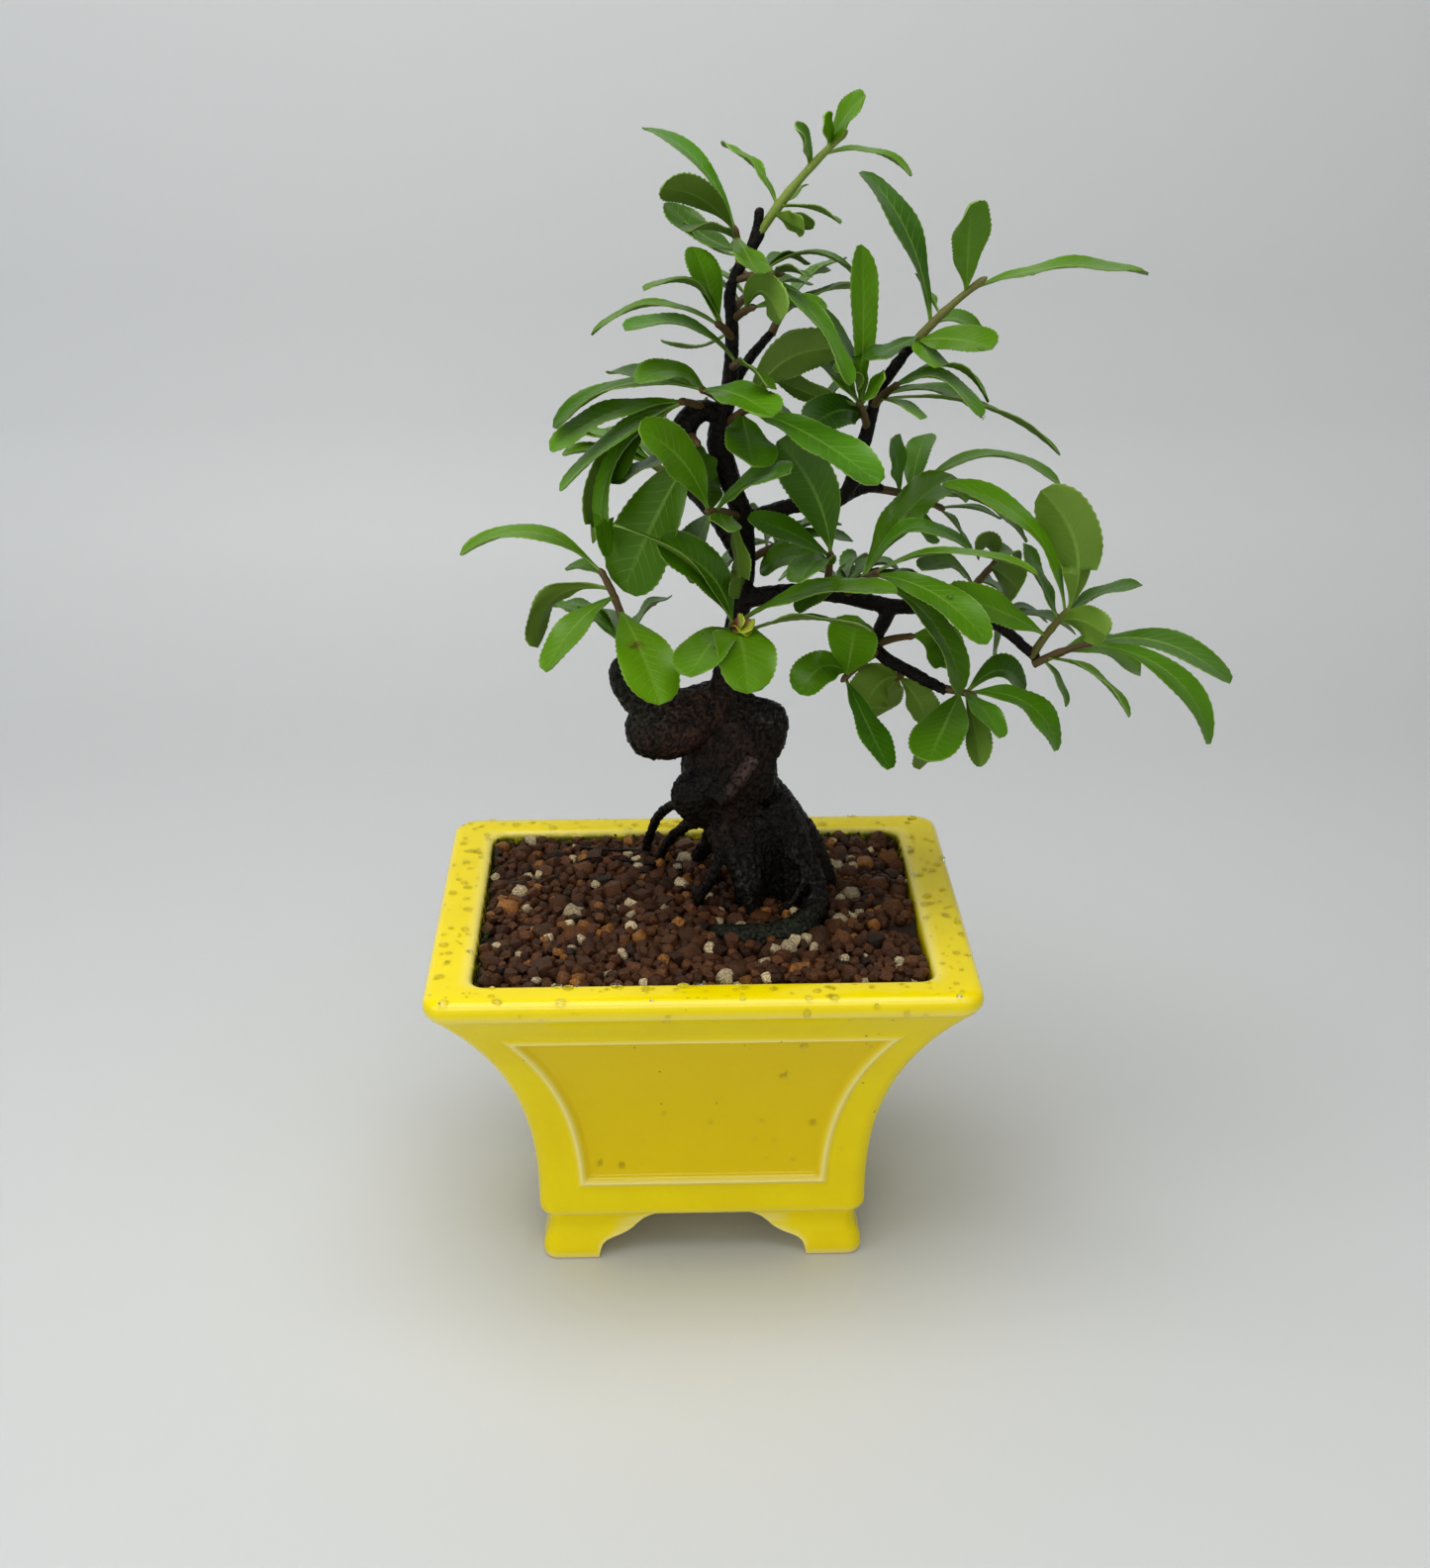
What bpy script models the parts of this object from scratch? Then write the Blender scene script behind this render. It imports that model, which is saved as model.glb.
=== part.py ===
"""Firethorn bonsai in a glazed rectangular pot.

The tree stands on exposed roots in granular soil, in a flared stoneware pot on four bracket feet.
All tables are in millimetres, measured from the middle of the pot's footprint, with z from the table
that the pot stands on, +X to the right of the front and +Y to the back. The meshes are in metres.
"""
import random
from itertools import product
from math import asin, atan2, cos, degrees, exp, pi, radians, sin

import bmesh
import bpy
from mathutils import Vector, noise

MM = 0.001
MERGES = (0.0000001, 0.000001)  # points that all but touch, at two strictnesses, in metres
GAP = 0.3                       # clearance between pieces that touch
SEED = 11

# The pot stands off the middle of the whole tree's box, because the branches reach to the right.
POT_FROM_MIDDLE = (-31.9, 0.0)

# Pot
RIM_LENGTH = 140.0
RIM_DEPTH = 111.0
POT_HEIGHT = 95.0
FOOT_HEIGHT = 14.0
BASE_HALF = 44.4                # half length of the body where its wall is upright
UPRIGHT_TO = 19.0               # height where the wall starts to flare
FLARE = 25.0                    # how far the wall leans out, up to the lip
FLARE_POWER = 2.3
LIP_FROM = 90.0
SIDE_LESS = (RIM_LENGTH - RIM_DEPTH) / 2
RIM_WIDTH = 12.0
INNER_SIDE_LESS = 13.0
WALL = 6.5
FLOOR_TOP = 20.0
PANEL_FROM = 25.5               # middle of the bead under the panel
PANEL_TO = 78.5                 # middle of the bead over the panel
PANEL_INSET = 12.2              # from the pot's corner to the middle of the bead
BEAD_HALF = 1.4
BEAD_RISE = 0.5
PANEL_SINK = 1.1
DRAIN_HOLE_RADIUS = 6.0
DRAIN_HOLE_AT = 19.0
SCREEN_SIDE = 20.0
SCREEN_THICK = 0.8

# Soil
SOIL_LEVEL = 91.6
SOIL_MOUND = 2.4
MOUND_AT = (12.0, 8.0)
MOUND_SPREAD = 24.0
GRAIN_RISE = 0.8
GRAIN_CELLS = (13, 11)

# Wood
FURROW = 0.35
WOOD_TRIANGLES = 2100
TWIG_ROOM = 0.8                 # clearance that twigs keep round the wood that carries them
TWIG_ROOM_TRIANGLES = 9000
SOIL_ROOM = 1.4                 # clearance of the soil before its cutter is thinned out
SOIL_ROOM_TRIANGLES = 4000

# Leaves and twigs
FRONT = Vector((-0.03, -0.92, 0.40))    # towards a viewer who looks a little down on the tree
UP = Vector((0.0, 0.0, 1.0))
BLADE_THICK = 0.65
STALK_HALF = 0.6
FOLD = 0.16                     # how far the halves rise from the midrib, per half width
WAVE = 0.35
LONG_LEAF = 35.0                # a leaf longer than this has one bend more
LONG_STATIONS = (0.0, 0.25, 0.58, 0.87, 1.0)
SHORT_STATIONS = (0.0, 0.35, 0.8, 1.0)
APART = 0.055                   # share of the twig between leaves that leave it together
TWIG_RADII = (1.25, 1.05, 0.9)
TWIG_ARCH = 0.03
BUD = 1.3                       # how far a twig reaches past its last leaf
ROLL_TRIES = 12

# Wood, as runs of (x, y, z, radius). The first runs are the knotted trunk, then the roots.
WOOD = {
    "body": [(13, 9, 110, 9), (8, 7, 124, 11), (7, 6, 134, 11.5), (9, 5, 143, 10), (8, 5, 152, 6)],
    "waist": [(14, 6, 124, 7.5), (13, 5, 134, 8), (16, 4, 141, 6)],
    "bulge": [(9, 4, 155, 4), (2, 2, 150, 7), (-6, 0, 146.5, 8.8), (-12, 0, 145, 8.2), (-17, 0, 144.5, 5.6),
              (-19, 0, 144.3, 2.4)],
    "knob": [(-10, 3, 148, 6), (-16, 4, 154, 5.4), (-18.5, 4, 158.5, 4.9), (-20, 4, 162, 3.4),
             (-20.7, 4, 163.5, 1.4)],
    "shoulder": [(6, 4, 147, 5.5), (15, 3, 147.5, 4.8), (19, 3, 145.5, 4.6), (17, 4, 137, 5)],
    "low_bulge": [(4, 1, 130, 6), (-2, 0, 126, 5.8), (2, 3, 119, 4.5)],
    "ridge": [(14, -5, 139, 2), (10, -6, 133, 2.4), (5, -5, 126, 2.2)],
    "stem": [(8, 5, 152, 5), (7.5, 4, 159, 3.7), (9, 5, 167, 3.1), (11, 6, 179, 2.9), (12, 6, 190, 2.8),
             (11, 6, 201, 2.8), (9, 6, 207, 2.7), (7, 6, 214, 2.7), (5, 6, 219, 2.8), (6, 6, 226, 2.6),
             (8, 6, 234, 2.1), (8.5, 6, 249, 1.7), (8, 6, 255, 1.6), (9, 6, 260, 1.5), (12.5, 6, 266, 1.5),
             (15.5, 6, 271, 1.4)],
    "old_stub": [(6, 6, 226, 2.4), (1, 4, 228, 2.8), (-3, 2, 225, 3.2), (-3, 2, 221, 2.8)],
    "cut_stub": [(13, 6, 267, 1.3), (14.5, 6, 272, 1.3), (15, 6, 276.5, 1.2)],
    "upper_branch": [(11, 6, 199, 2.3), (24, 9, 202, 2.1), (37, 13, 203, 2), (42, 12, 217, 1.9),
                     (45, 11, 230, 1.6), (49, 10, 237, 1.5), (54, 9, 244, 1.3)],
    "back_branch": [(37, 13, 203, 1.8), (43, 18, 204, 1.6), (48, 22, 203, 1.4)],
    "long_branch": [(11, 6, 178, 2.6), (21, 5, 180, 2.5), (34, 5, 180, 2.3), (50, 6, 176, 2.1),
                    (65, 6, 176, 1.9), (76, 5, 172, 1.7), (88, 3, 162.5, 1.4)],
    "low_branch": [(50, 6, 176, 1.9), (46, 4, 168, 1.9), (47, 3, 164, 1.8), (55, 0, 160, 1.7),
                   (64, -2, 155.5, 1.5)],
    "left_twig": [(-17, 4, 160, 1.8), (-18, 3, 167, 1.4), (-19, 3, 174, 1.2)],
    "behind_branch": [(10, 7, 190, 1.9), (4, 18, 197, 1.6), (-3, 28, 202, 1.3)],
    "behind_high": [(8, 7, 232, 1.6), (13, 15, 238, 1.4), (19, 23, 243, 1.2)],
    "root_right": [(17, 8, 124, 5.5), (22, 9, 117, 5.5), (27, 9, 110, 5.2), (31, 10, 102, 4.8),
                   (34, 11, 94, 4.2), (35, 12, 86, 3.6)],
    "root_core": [(13, 6, 118, 9), (16, 7, 105, 8.5), (18, 8, 94, 8), (19, 8, 86, 7.5)],
    "root_front_right": [(18, 5, 122, 7), (25, 3, 108, 5.5), (26, 2, 94, 4.6), (26, 2, 86, 4)],
    "root_middle": [(11, 2, 116, 6), (13, -2, 104, 4.6), (14, -2, 93, 3.8), (14, -2, 86, 3)],
    "root_ridge": [(6, -1, 119, 3), (9, -5, 109, 2.3), (13, -7, 99, 2.1), (16, -6, 90, 2)],
    "root_fork": [(3, 1, 119, 2), (5, -4, 110, 1.6), (3, -4, 103, 1.5), (0, -1, 96, 1.5), (-2, 1, 88, 1.4)],
    "root_back": [(12, 12, 114, 6), (15, 22, 105, 3.8), (19, 29, 94, 2.8), (20, 31, 86, 2.4)],
    "root_back_left": [(7, 10, 116, 5), (4, 21, 104, 2.9), (0, 28, 94, 2.1), (-1, 29, 86, 1.8)],
    "root_back_right": [(19, 10, 116, 5), (27, 19, 106, 3), (33, 25, 94, 2.3), (34, 26, 86, 2)],
    "arch_high": [(0, 6, 119, 2.4), (-6, 18, 115.5, 1.6), (-11, 28, 107, 1.4), (-14, 34, 96, 1.3),
                  (-14.5, 35, 88, 1.1)],
    "arch_low": [(1, 7, 116, 2.4), (-3, 16, 110, 1.7), (-7.5, 23.5, 102.5, 1.5), (-10.5, 28, 94, 1.3),
                 (-11, 29, 87, 1.1)],
    "crossing": [(23, -1, 110, 1.4), (28, -5, 106, 1.2), (26, -7, 100, 1.2), (21, -7, 94, 1.2),
                 (20, -7, 88, 1.1)],
    "root_thin": [(28, -3, 106, 1.3), (31, -7, 100, 1.2), (33, -9, 94, 1.2), (33, -10, 87, 1.1)],
    "mossy": [(2, -12, 90, 2.6), (5, -16, 92.5, 3.2), (10, -19, 93.5, 3.8), (17, -19.5, 93.5, 4),
              (24, -17, 94, 4), (29, -11, 95.5, 3.7), (31, -4, 98, 3.5), (29, 2, 103, 4), (26, 4, 107, 4.5)],
}

# Shoots: where the twig leaves the wood, its turn, toward and length, then its leaves as
# (share of the twig, turn, toward, length, arch, width, lean). All turns are seen from the front:
# turn 0 points right, 90 up, 180 left and 270 down, and toward is how far it leans to the viewer.
# arch is how high the middle rises, as a share of the length. lean 0 shows the upper face to the
# front, 90 turns it to the sky, and past 90 the underside shows.
SHOOTS = {
    "leader": ((15, 6, 270.5), 50, 5, 30, [
        (0.25, 135, -35, 22, 0.12, 7, 70),
        (0.7, 120, 30, 11, 0.12, 6, 55),
        (1.0, 135, 45, 10, 0, 5, 45),
        (1.0, 65, 30, 12, 0.05, 8, 45),
        (1.0, -30, -10, 20, 0.15, 6, 60),
        (0.25, -10, 30, 17, 0.1, 5, 75),
        (0.25, -35, 50, 11, 0, 5, 125),
        (0.3, -40, -20, 11, 0, 5, 115),
        (0.4, 0, -70, 11, 0, 6, 60)]),
    "crown": ((10.5, 6, 263), 100, 15, 9, [
        (1.0, 135, -30, 35, 0.14, 8, 60),
        (1.0, 145, 40, 28, 0.1, 8, 120),
        (0.5, 155, -45, 26, -0.08, 9, 45),
        (0.9, 160, 60, 24, 0.05, 8, 65),
        (0.5, 165, -50, 20, -0.1, 8, 70),
        (0.8, -50, 75, 23, 0, 9, 40)]),
    "high_left": ((9, 6, 245), 130, 40, 8, [
        (1.0, 110, -25, 20, 0.05, 9, 45),
        (0.8, 150, 25, 24, 0.25, 8, 70),
        (0.6, 185, -15, 34, 0.2, 8, 70),
        (0.6, 200, -40, 21, -0.12, 7, 75)]),
    "high_right": ((9, 6, 259.5), 10, 15, 11, [
        (0.5, 0, -50, 20, 0.15, 7, 65),
        (0.6, -10, -30, 30, 0.2, 7, 75),
        (1.0, 25, 70, 18, 0.05, 6, 65),
        (0.5, -45, 40, 39, 0.15, 9, 60),
        (0.8, -50, -15, 39, 0.1, 8, 60)]),
    "high_front": ((9, 6, 250), 45, 50, 9, [
        (0.6, 15, 70, 23, 0.25, 9, 125),
        (1.0, 0, 0, 18, 0.05, 8, 55)]),
    "middle_left": ((8.5, 6, 238), 65, 65, 8, [
        (0.7, 155, 35, 36, 0.14, 9, 55),
        (0.8, -5, 75, 24, 0.05, 8, 65)]),
    "left_rosette": ((7, 6, 229), 135, 50, 13, [
        (1.0, 0, 60, 31, 0.06, 11, 35),
        (1.0, 180, -40, 30, 0.05, 8, 65),
        (1.0, 160, 45, 23, 0.15, 9, 45),
        (1.0, 195, -5, 38, 0.16, 10, 60)]),
    "left_hanging": ((1, 3, 229), 150, 45, 8, [
        (0.9, 200, 0, 35, 0.1, 10, 50),
        (1.0, 215, 5, 37, 0.06, 9, 65),
        (1.0, 230, -15, 30, 0.12, 10, 35),
        (1.0, 245, -5, 45, 0.2, 9, 60),
        (1.0, 240, -15, 47, 0.2, 8, 105)]),
    "front_middle": ((8, 5, 225), 50, 55, 12, [
        (0.6, -75, 70, 23, 0, 12, 25),
        (1.0, -20, 45, 43, 0.05, 13, 40),
        (1.0, 30, -15, 27, 0.2, 10, 145)]),
    "stub_leaves": ((-3, 3, 223), -20, 70, 8.5, [
        (1.0, 245, -10, 45, 0.02, 17, 20),
        (1.0, 210, -20, 25, 0, 9, 60),
        (0.9, -70, 15, 10, 0, 8, 60)]),
    "left_middle": ((11, 6, 200), 145, 55, 18.5, [
        (1.0, 125, 25, 32, 0.1, 11, 30),
        (1.0, 90, -70, 22, -0.05, 8, 45),
        (0.9, 40, 40, 30, 0.08, 10, 50),
        (0.9, -25, 70, 12, 0, 7, 40),
        (0.6, -80, 0, 23, 0.1, 8, 120),
        (0.9, 255, -38, 30, 0.03, 10, 40)]),
    "far_left": ((-19, 3, 172.5), 110, 5, 15.5, [
        (1.0, 175, -10, 37, 0.22, 9, 65),
        (1.0, 185, -40, 12, 0.1, 5, 60),
        (0.8, 225, -10, 27, 0.28, 9, 120),
        (0.7, 220, 50, 32, 0.1, 9, 40),
        (0.5, -60, 50, 34, 0.08, 14, 30)]),
    "front": ((8.5, 5, 164), 90, 40, 15, [
        (1.0, 135, 15, 43, 0.1, 8, 60),
        (1.0, 130, 12, 30, 0.15, 11, 25),
        (0.9, 200, 65, 28, 0.08, 13, 35),
        (1.0, 20, 25, 46, 0.1, 10, 45),
        (0.6, 15, 35, 42, 0.1, 9, 55),
        (0.6, -65, 75, 27, 0.25, 15, 25)]),
    "right_spur": ((43, 12, 221), 110, 45, 13, [
        (1.0, 140, -45, 30, 0.05, 11, 40),
        (1.0, 170, -40, 29, -0.05, 8, 115),
        (0.5, 180, 45, 20, 0.15, 11, 30),
        (1.0, 120, 40, 15, 0.2, 7, 55),
        (1.0, 90, -40, 18, 0.2, 7, 65),
        (1.0, 60, 45, 14, 0, 7, 55),
        (1.0, 90, -10, 38, 0.1, 9, 45)]),
    "upper_right": ((53, 9, 242.5), 45, 5, 23, [
        (0.3, 115, -30, 43, 0.12, 10, 45),
        (0.5, 130, -60, 16, 0, 6, 70),
        (0.9, 100, 30, 25, 0.08, 11, 35),
        (1.0, 0, -10, 43, 0.08, 10, 65),
        (0.2, 0, 55, 24, 0.05, 11, 40),
        (0.3, -25, -40, 21, 0.15, 8, 50),
        (0.2, 195, 40, 20, 0, 8, 50),
        (0.2, -80, 70, 16, 0, 8, 30)]),
    "right_middle": ((44, 11, 227), 55, 40, 11, [
        (1.0, -15, -20, 27, 0.26, 7, 75),
        (0.6, -5, 40, 28, 0.25, 9, 60),
        (0.6, -20, -25, 31, 0.13, 9, 60),
        (0.5, -15, 65, 18, 0.05, 7, 60),
        (0.5, -20, -5, 49, 0.12, 9, 75)]),
    "centre": ((33, 5, 180), 90, 35, 16, [
        (1.0, 115, 5, 33, 0.09, 13, 15),
        (1.0, 155, 0, 23, 0.05, 8, 45),
        (0.9, 200, -30, 21, 0.12, 9, 50),
        (0.9, 165, 70, 28, 0.1, 10, 45)]),
    "centre_right": ((38, 5, 179.5), 65, 55, 23, [
        (0.5, 40, -35, 40, 0.08, 12, 40),
        (0.6, 10, -10, 29, 0.35, 8, 65),
        (0.6, 10, 25, 45, 0.14, 8, 70),
        (1.0, -25, 35, 34, 0.12, 11, 40),
        (1.0, -55, 0, 39, 0.14, 11, 50),
        (0.5, 205, 0, 18, 0.12, 7, 45)]),
    "behind": ((46.5, 21, 203), -25, -30, 24, [
        (0.5, 65, -50, 21, 0.08, 8, 45),
        (0.4, 105, 25, 19, 0.05, 8, 50),
        (0.6, 5, 0, 38, 0.23, 9, 65),
        (0.8, 20, 50, 14, 0.2, 7, 65),
        (0.8, -25, -10, 31, 0.15, 7, 70),
        (1.0, -15, -15, 18, 0.08, 6, 75),
        (0.7, -90, 65, 16, -0.05, 8, 50),
        (1.0, -55, -25, 18, 0.05, 6, 70)]),
    "far_right_back": ((67, 6, 175), 35, -45, 19.5, [
        (1.0, 140, 50, 13, 0.3, 7, 125),
        (1.0, -15, -60, 15, 0.13, 7, 50),
        (1.0, -15, 80, 20, 0.05, 10, 140),
        (0.6, 155, 40, 25, 0.15, 9, 60),
        (0.8, -55, -45, 20, 0.03, 7, 60)]),
    "right_big": ((86.5, 3, 163), 65, 25, 18, [
        (1.0, 105, -5, 32, 0.18, 13, 150),
        (1.0, 135, 0, 47, 0.18, 10, 55),
        (0.9, 120, -50, 24, -0.02, 8, 55),
        (0.6, 155, 20, 34, 0.03, 10, 40),
        (1.0, -10, 65, 17, 0.1, 8, 150),
        (0.8, 20, -10, 23, 0.1, 8, 70)]),
    "right_end": ((87, 2.5, 161), 30, 20, 16, [
        (1.0, 0, 45, 41, 0.13, 11, 55),
        (1.0, -40, 0, 44, 0.17, 10, 50),
        (0.5, -20, -15, 25, 0.18, 10, 50),
        (0.4, -30, 50, 28, 0.15, 8, 70),
        (0.4, -75, 0, 15, 0.08, 5, 65)]),
    "low_right": ((63, -1.5, 156), 0, 35, 8.5, [
        (0.6, 220, 60, 28, 0, 13, 30),
        (0.6, 250, -15, 27, 0, 8, 130),
        (0.9, -85, 55, 22, 0.08, 7, 130),
        (0.9, -40, 70, 20, 0.08, 8, 45),
        (1.0, -35, -5, 29, 0.2, 9, 45),
        (0.8, -15, -35, 22, 0.27, 9, 45)]),
    "low_middle": ((46.5, 3, 165), 210, 30, 12, [
        (1.0, -60, 50, 29, 0, 9, 45),
        (1.0, 85, 25, 22, 0, 12, 20),
        (1.0, 185, 35, 15, 0.3, 10, 25)]),
    "low_back": ((54, 0.5, 160.5), 255, -55, 13, [
        (0.6, 210, 35, 14, 0.2, 12, 150),
        (0.7, 250, -30, 19, 0.05, 12, 150),
        (0.8, -50, 40, 15, 0.1, 9, 135)]),
    "low_top": ((47, 3.5, 167), 30, 40, 10.5, [
        (1.0, -40, 20, 12, 0.35, 12, 35)]),
}

# Shoots at the back, where leaves stand round the twig by the golden angle: where the twig starts,
# its turn, toward and length, how many leaves, and how long they are.
BACK_SHOOTS = {
    "back_low_left": ((-17, 5, 160), 120, -55, 11, 4, 27),
    "back_left": ((-3, 27, 202), 150, -25, 14, 6, 30),
    "back_knot": ((7, 7, 178), 150, -60, 12, 4, 27),
    "back_high": ((19, 22, 243), 55, -45, 10, 5, 28),
    "back_top": ((9, 7, 252), 30, -60, 9, 4, 22),
    "back_right": ((36, 7, 180), -20, -70, 14, 5, 30),
    "back_far_right": ((75, 6, 172), -40, -60, 14, 4, 27),
    "inner_high": ((27, 10, 202.5), 85, -25, 14, 5, 28),
    "inner_low": ((12.5, 7, 188), 15, -35, 13, 5, 26),
}
GOLDEN_ANGLE = radians(137.5)

GLAZE = (0.78, 0.66, 0.02, 1.0)
BARK = (0.035, 0.022, 0.016, 1.0)
SOIL_BROWN = (0.13, 0.06, 0.035, 1.0)
LEAF_GREEN = (0.10, 0.24, 0.02, 1.0)
SCREEN_BLACK = (0.02, 0.02, 0.02, 1.0)


# Scene helpers
def clear_scene():
    for item in list(bpy.data.objects):
        bpy.data.objects.remove(item, do_unlink=True)


def new_collection(name):
    group = bpy.data.collections.new(name)
    bpy.context.scene.collection.children.link(group)
    return group


def make_material(name, colour, roughness):
    finish = bpy.data.materials.new(name)
    finish.use_nodes = True
    shader = finish.node_tree.nodes["Principled BSDF"]
    shader.inputs["Base Color"].default_value = colour
    shader.inputs["Roughness"].default_value = roughness
    shader.inputs["Metallic"].default_value = 0.0
    return finish


def add_object(name, mesh, group, finish=None):
    thing = bpy.data.objects.new(name, mesh)
    group.objects.link(thing)
    if finish:
        thing.data.materials.clear()
        thing.data.materials.append(finish)
    return thing


def mesh_from(name, bm):
    mesh = bpy.data.meshes.new(name)
    bm.to_mesh(mesh)
    bm.free()
    return mesh


def apply_modifiers(thing):
    bpy.context.view_layer.update()
    graph = bpy.context.evaluated_depsgraph_get()
    finished = bpy.data.meshes.new_from_object(thing.evaluated_get(graph))
    thing.modifiers.clear()
    thing.data = finished


def is_sound(mesh):
    """Whether each edge has two faces, also once points that all but touch are joined."""
    for distance in MERGES:
        bm = bmesh.new()
        bm.from_mesh(mesh)
        bmesh.ops.triangulate(bm, faces=bm.faces)
        bmesh.ops.remove_doubles(bm, verts=bm.verts, dist=distance)
        sound = all(len(edge.link_faces) == 2 for edge in bm.edges)
        bm.free()
        if not sound:
            return False
    return True


def boolean(thing, operation, other=None, group=None, solver="EXACT"):
    cut = thing.modifiers.new(operation.lower(), "BOOLEAN")
    cut.operation = operation
    cut.solver = solver
    if group:
        cut.operand_type = "COLLECTION"
        cut.collection = group
    else:
        cut.object = other
    apply_modifiers(thing)


def keep_largest_body(thing):
    bm = bmesh.new()
    bm.from_mesh(thing.data)
    left = set(bm.verts)
    bodies = []
    while left:
        start = left.pop()
        body = {start}
        edge_of_search = [start]
        while edge_of_search:
            vert = edge_of_search.pop()
            for edge in vert.link_edges:
                other = edge.other_vert(vert)
                if other in left:
                    left.remove(other)
                    body.add(other)
                    edge_of_search.append(other)
        bodies.append(body)
    bodies.sort(key=len)
    for body in bodies[:-1]:
        bmesh.ops.delete(bm, geom=list(body), context="VERTS")
    bm.to_mesh(thing.data)
    bm.free()


# Curves
def tube_mesh(points, bevel_resolution=2, smooth=True):
    """A round bar through points of (x, y, z, radius), as a closed mesh in metres."""
    curve = bpy.data.curves.new("run", "CURVE")
    curve.dimensions = "3D"
    curve.bevel_depth = MM
    curve.bevel_resolution = bevel_resolution
    curve.resolution_u = 3
    curve.use_fill_caps = True
    if smooth:
        spline = curve.splines.new("BEZIER")
        spline.bezier_points.add(len(points) - 1)
        for knot, (x, y, z, radius) in zip(spline.bezier_points, points):
            knot.co = Vector((x, y, z)) * MM
            knot.radius = radius
            knot.handle_left_type = "AUTO"
            knot.handle_right_type = "AUTO"
    else:
        spline = curve.splines.new("POLY")
        spline.points.add(len(points) - 1)
        for knot, (x, y, z, radius) in zip(spline.points, points):
            knot.co = (x * MM, y * MM, z * MM, 1.0)
            knot.radius = radius
    run = bpy.data.objects.new("run", curve)
    bpy.context.scene.collection.objects.link(run)
    bpy.context.view_layer.update()
    graph = bpy.context.evaluated_depsgraph_get()
    mesh = bpy.data.meshes.new_from_object(run.evaluated_get(graph))
    bpy.data.objects.remove(run, do_unlink=True)
    bm = bmesh.new()
    bm.from_mesh(mesh)
    bmesh.ops.remove_doubles(bm, verts=bm.verts, dist=0.00001)
    bmesh.ops.recalc_face_normals(bm, faces=bm.faces)
    bm.to_mesh(mesh)
    bm.free()
    return mesh


# Pot
def wall_half(z):
    """Half length of the pot's outside at a height."""
    if z <= UPRIGHT_TO:
        return BASE_HALF
    rise = (z - UPRIGHT_TO) / (LIP_FROM - UPRIGHT_TO)
    return BASE_HALF + FLARE * rise ** FLARE_POWER


def cavity_half(z):
    """Half length of the pot's inside at a height."""
    at_rim = RIM_LENGTH / 2 - RIM_WIDTH - 0.15 * (POT_HEIGHT - z)
    return min(at_rim, wall_half(z) - WALL)


def ring(half, less, radius, z, corner_steps=2, insets=(), pushes=()):
    """Points round a rectangle with round corners, with extra points beside each corner.

    insets are distances from the corner, and pushes how far each such point moves outwards.
    """
    points = []
    sides = [((1, 0), (0, -1)), ((0, 1), (1, 0)), ((-1, 0), (0, 1)), ((0, -1), (-1, 0))]
    for along, out in sides:
        reach = half if along[0] else half - less
        distance = half - less if along[0] else half
        places = [(-(reach - inset), push) for inset, push in zip(insets, pushes)]
        places += [(-place, push) for place, push in reversed(places)]
        for place, push in places:
            away = distance + push
            points.append((along[0] * place + out[0] * away, along[1] * place + out[1] * away, z))
        for step in range(corner_steps + 1):
            angle = pi / 2 * step / corner_steps
            forward = reach - radius + radius * sin(angle)
            away = distance - radius + radius * cos(angle)
            points.append((along[0] * forward + out[0] * away, along[1] * forward + out[1] * away, z))
    return points


def loft(rings):
    """A closed solid through rings of equal count, from the first to the last."""
    bm = bmesh.new()
    rows = [[bm.verts.new(Vector(point) * MM) for point in points] for points in rings]
    count = len(rows[0])
    for lower, upper in zip(rows, rows[1:]):
        for i in range(count):
            j = (i + 1) % count
            bm.faces.new((lower[i], lower[j], upper[j], upper[i]))
    bm.faces.new(list(reversed(rows[0])))
    bm.faces.new(rows[-1])
    bmesh.ops.recalc_face_normals(bm, faces=bm.faces)
    return bm


def pot_rings():
    insets = (PANEL_INSET - BEAD_HALF, PANEL_INSET, PANEL_INSET + BEAD_HALF)
    plain = (0.0, 0.0, 0.0)
    bead_row = (0.0, BEAD_RISE, BEAD_RISE)
    panel_row = (0.0, BEAD_RISE, -PANEL_SINK)
    rows = [(FOOT_HEIGHT, -2.0, plain), (15.5, -0.5, plain), (17.5, 0.0, plain),
            (PANEL_FROM - BEAD_HALF, 0.0, plain), (PANEL_FROM, 0.0, bead_row),
            (PANEL_FROM + BEAD_HALF, 0.0, panel_row), (41.0, 0.0, panel_row), (54.0, 0.0, panel_row),
            (66.0, 0.0, panel_row), (PANEL_TO - BEAD_HALF, 0.0, panel_row), (PANEL_TO, 0.0, bead_row),
            (PANEL_TO + BEAD_HALF, 0.0, plain), (88.7, 0.0, plain)]
    rings = []
    for z, extra, pushes in rows:
        half = wall_half(z) + extra
        rings.append(ring(half, SIDE_LESS, 5.5, z, insets=insets, pushes=pushes))
    lip = [(LIP_FROM, 0.0), (93.4, 0.0), (POT_HEIGHT, 1.6)]
    for z, back in lip:
        rings.append(ring(RIM_LENGTH / 2 - back, SIDE_LESS, 6.5, z, insets=insets, pushes=plain))
    inside = [POT_HEIGHT, 93.6, 80.0, 62.0, 42.0, FLOOR_TOP]
    for z in inside:
        edge = 0.8 if z == POT_HEIGHT else 0.0
        rings.append(ring(cavity_half(z) + edge, INNER_SIDE_LESS, 5.0, z, insets=insets, pushes=plain))
    return rings


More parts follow.
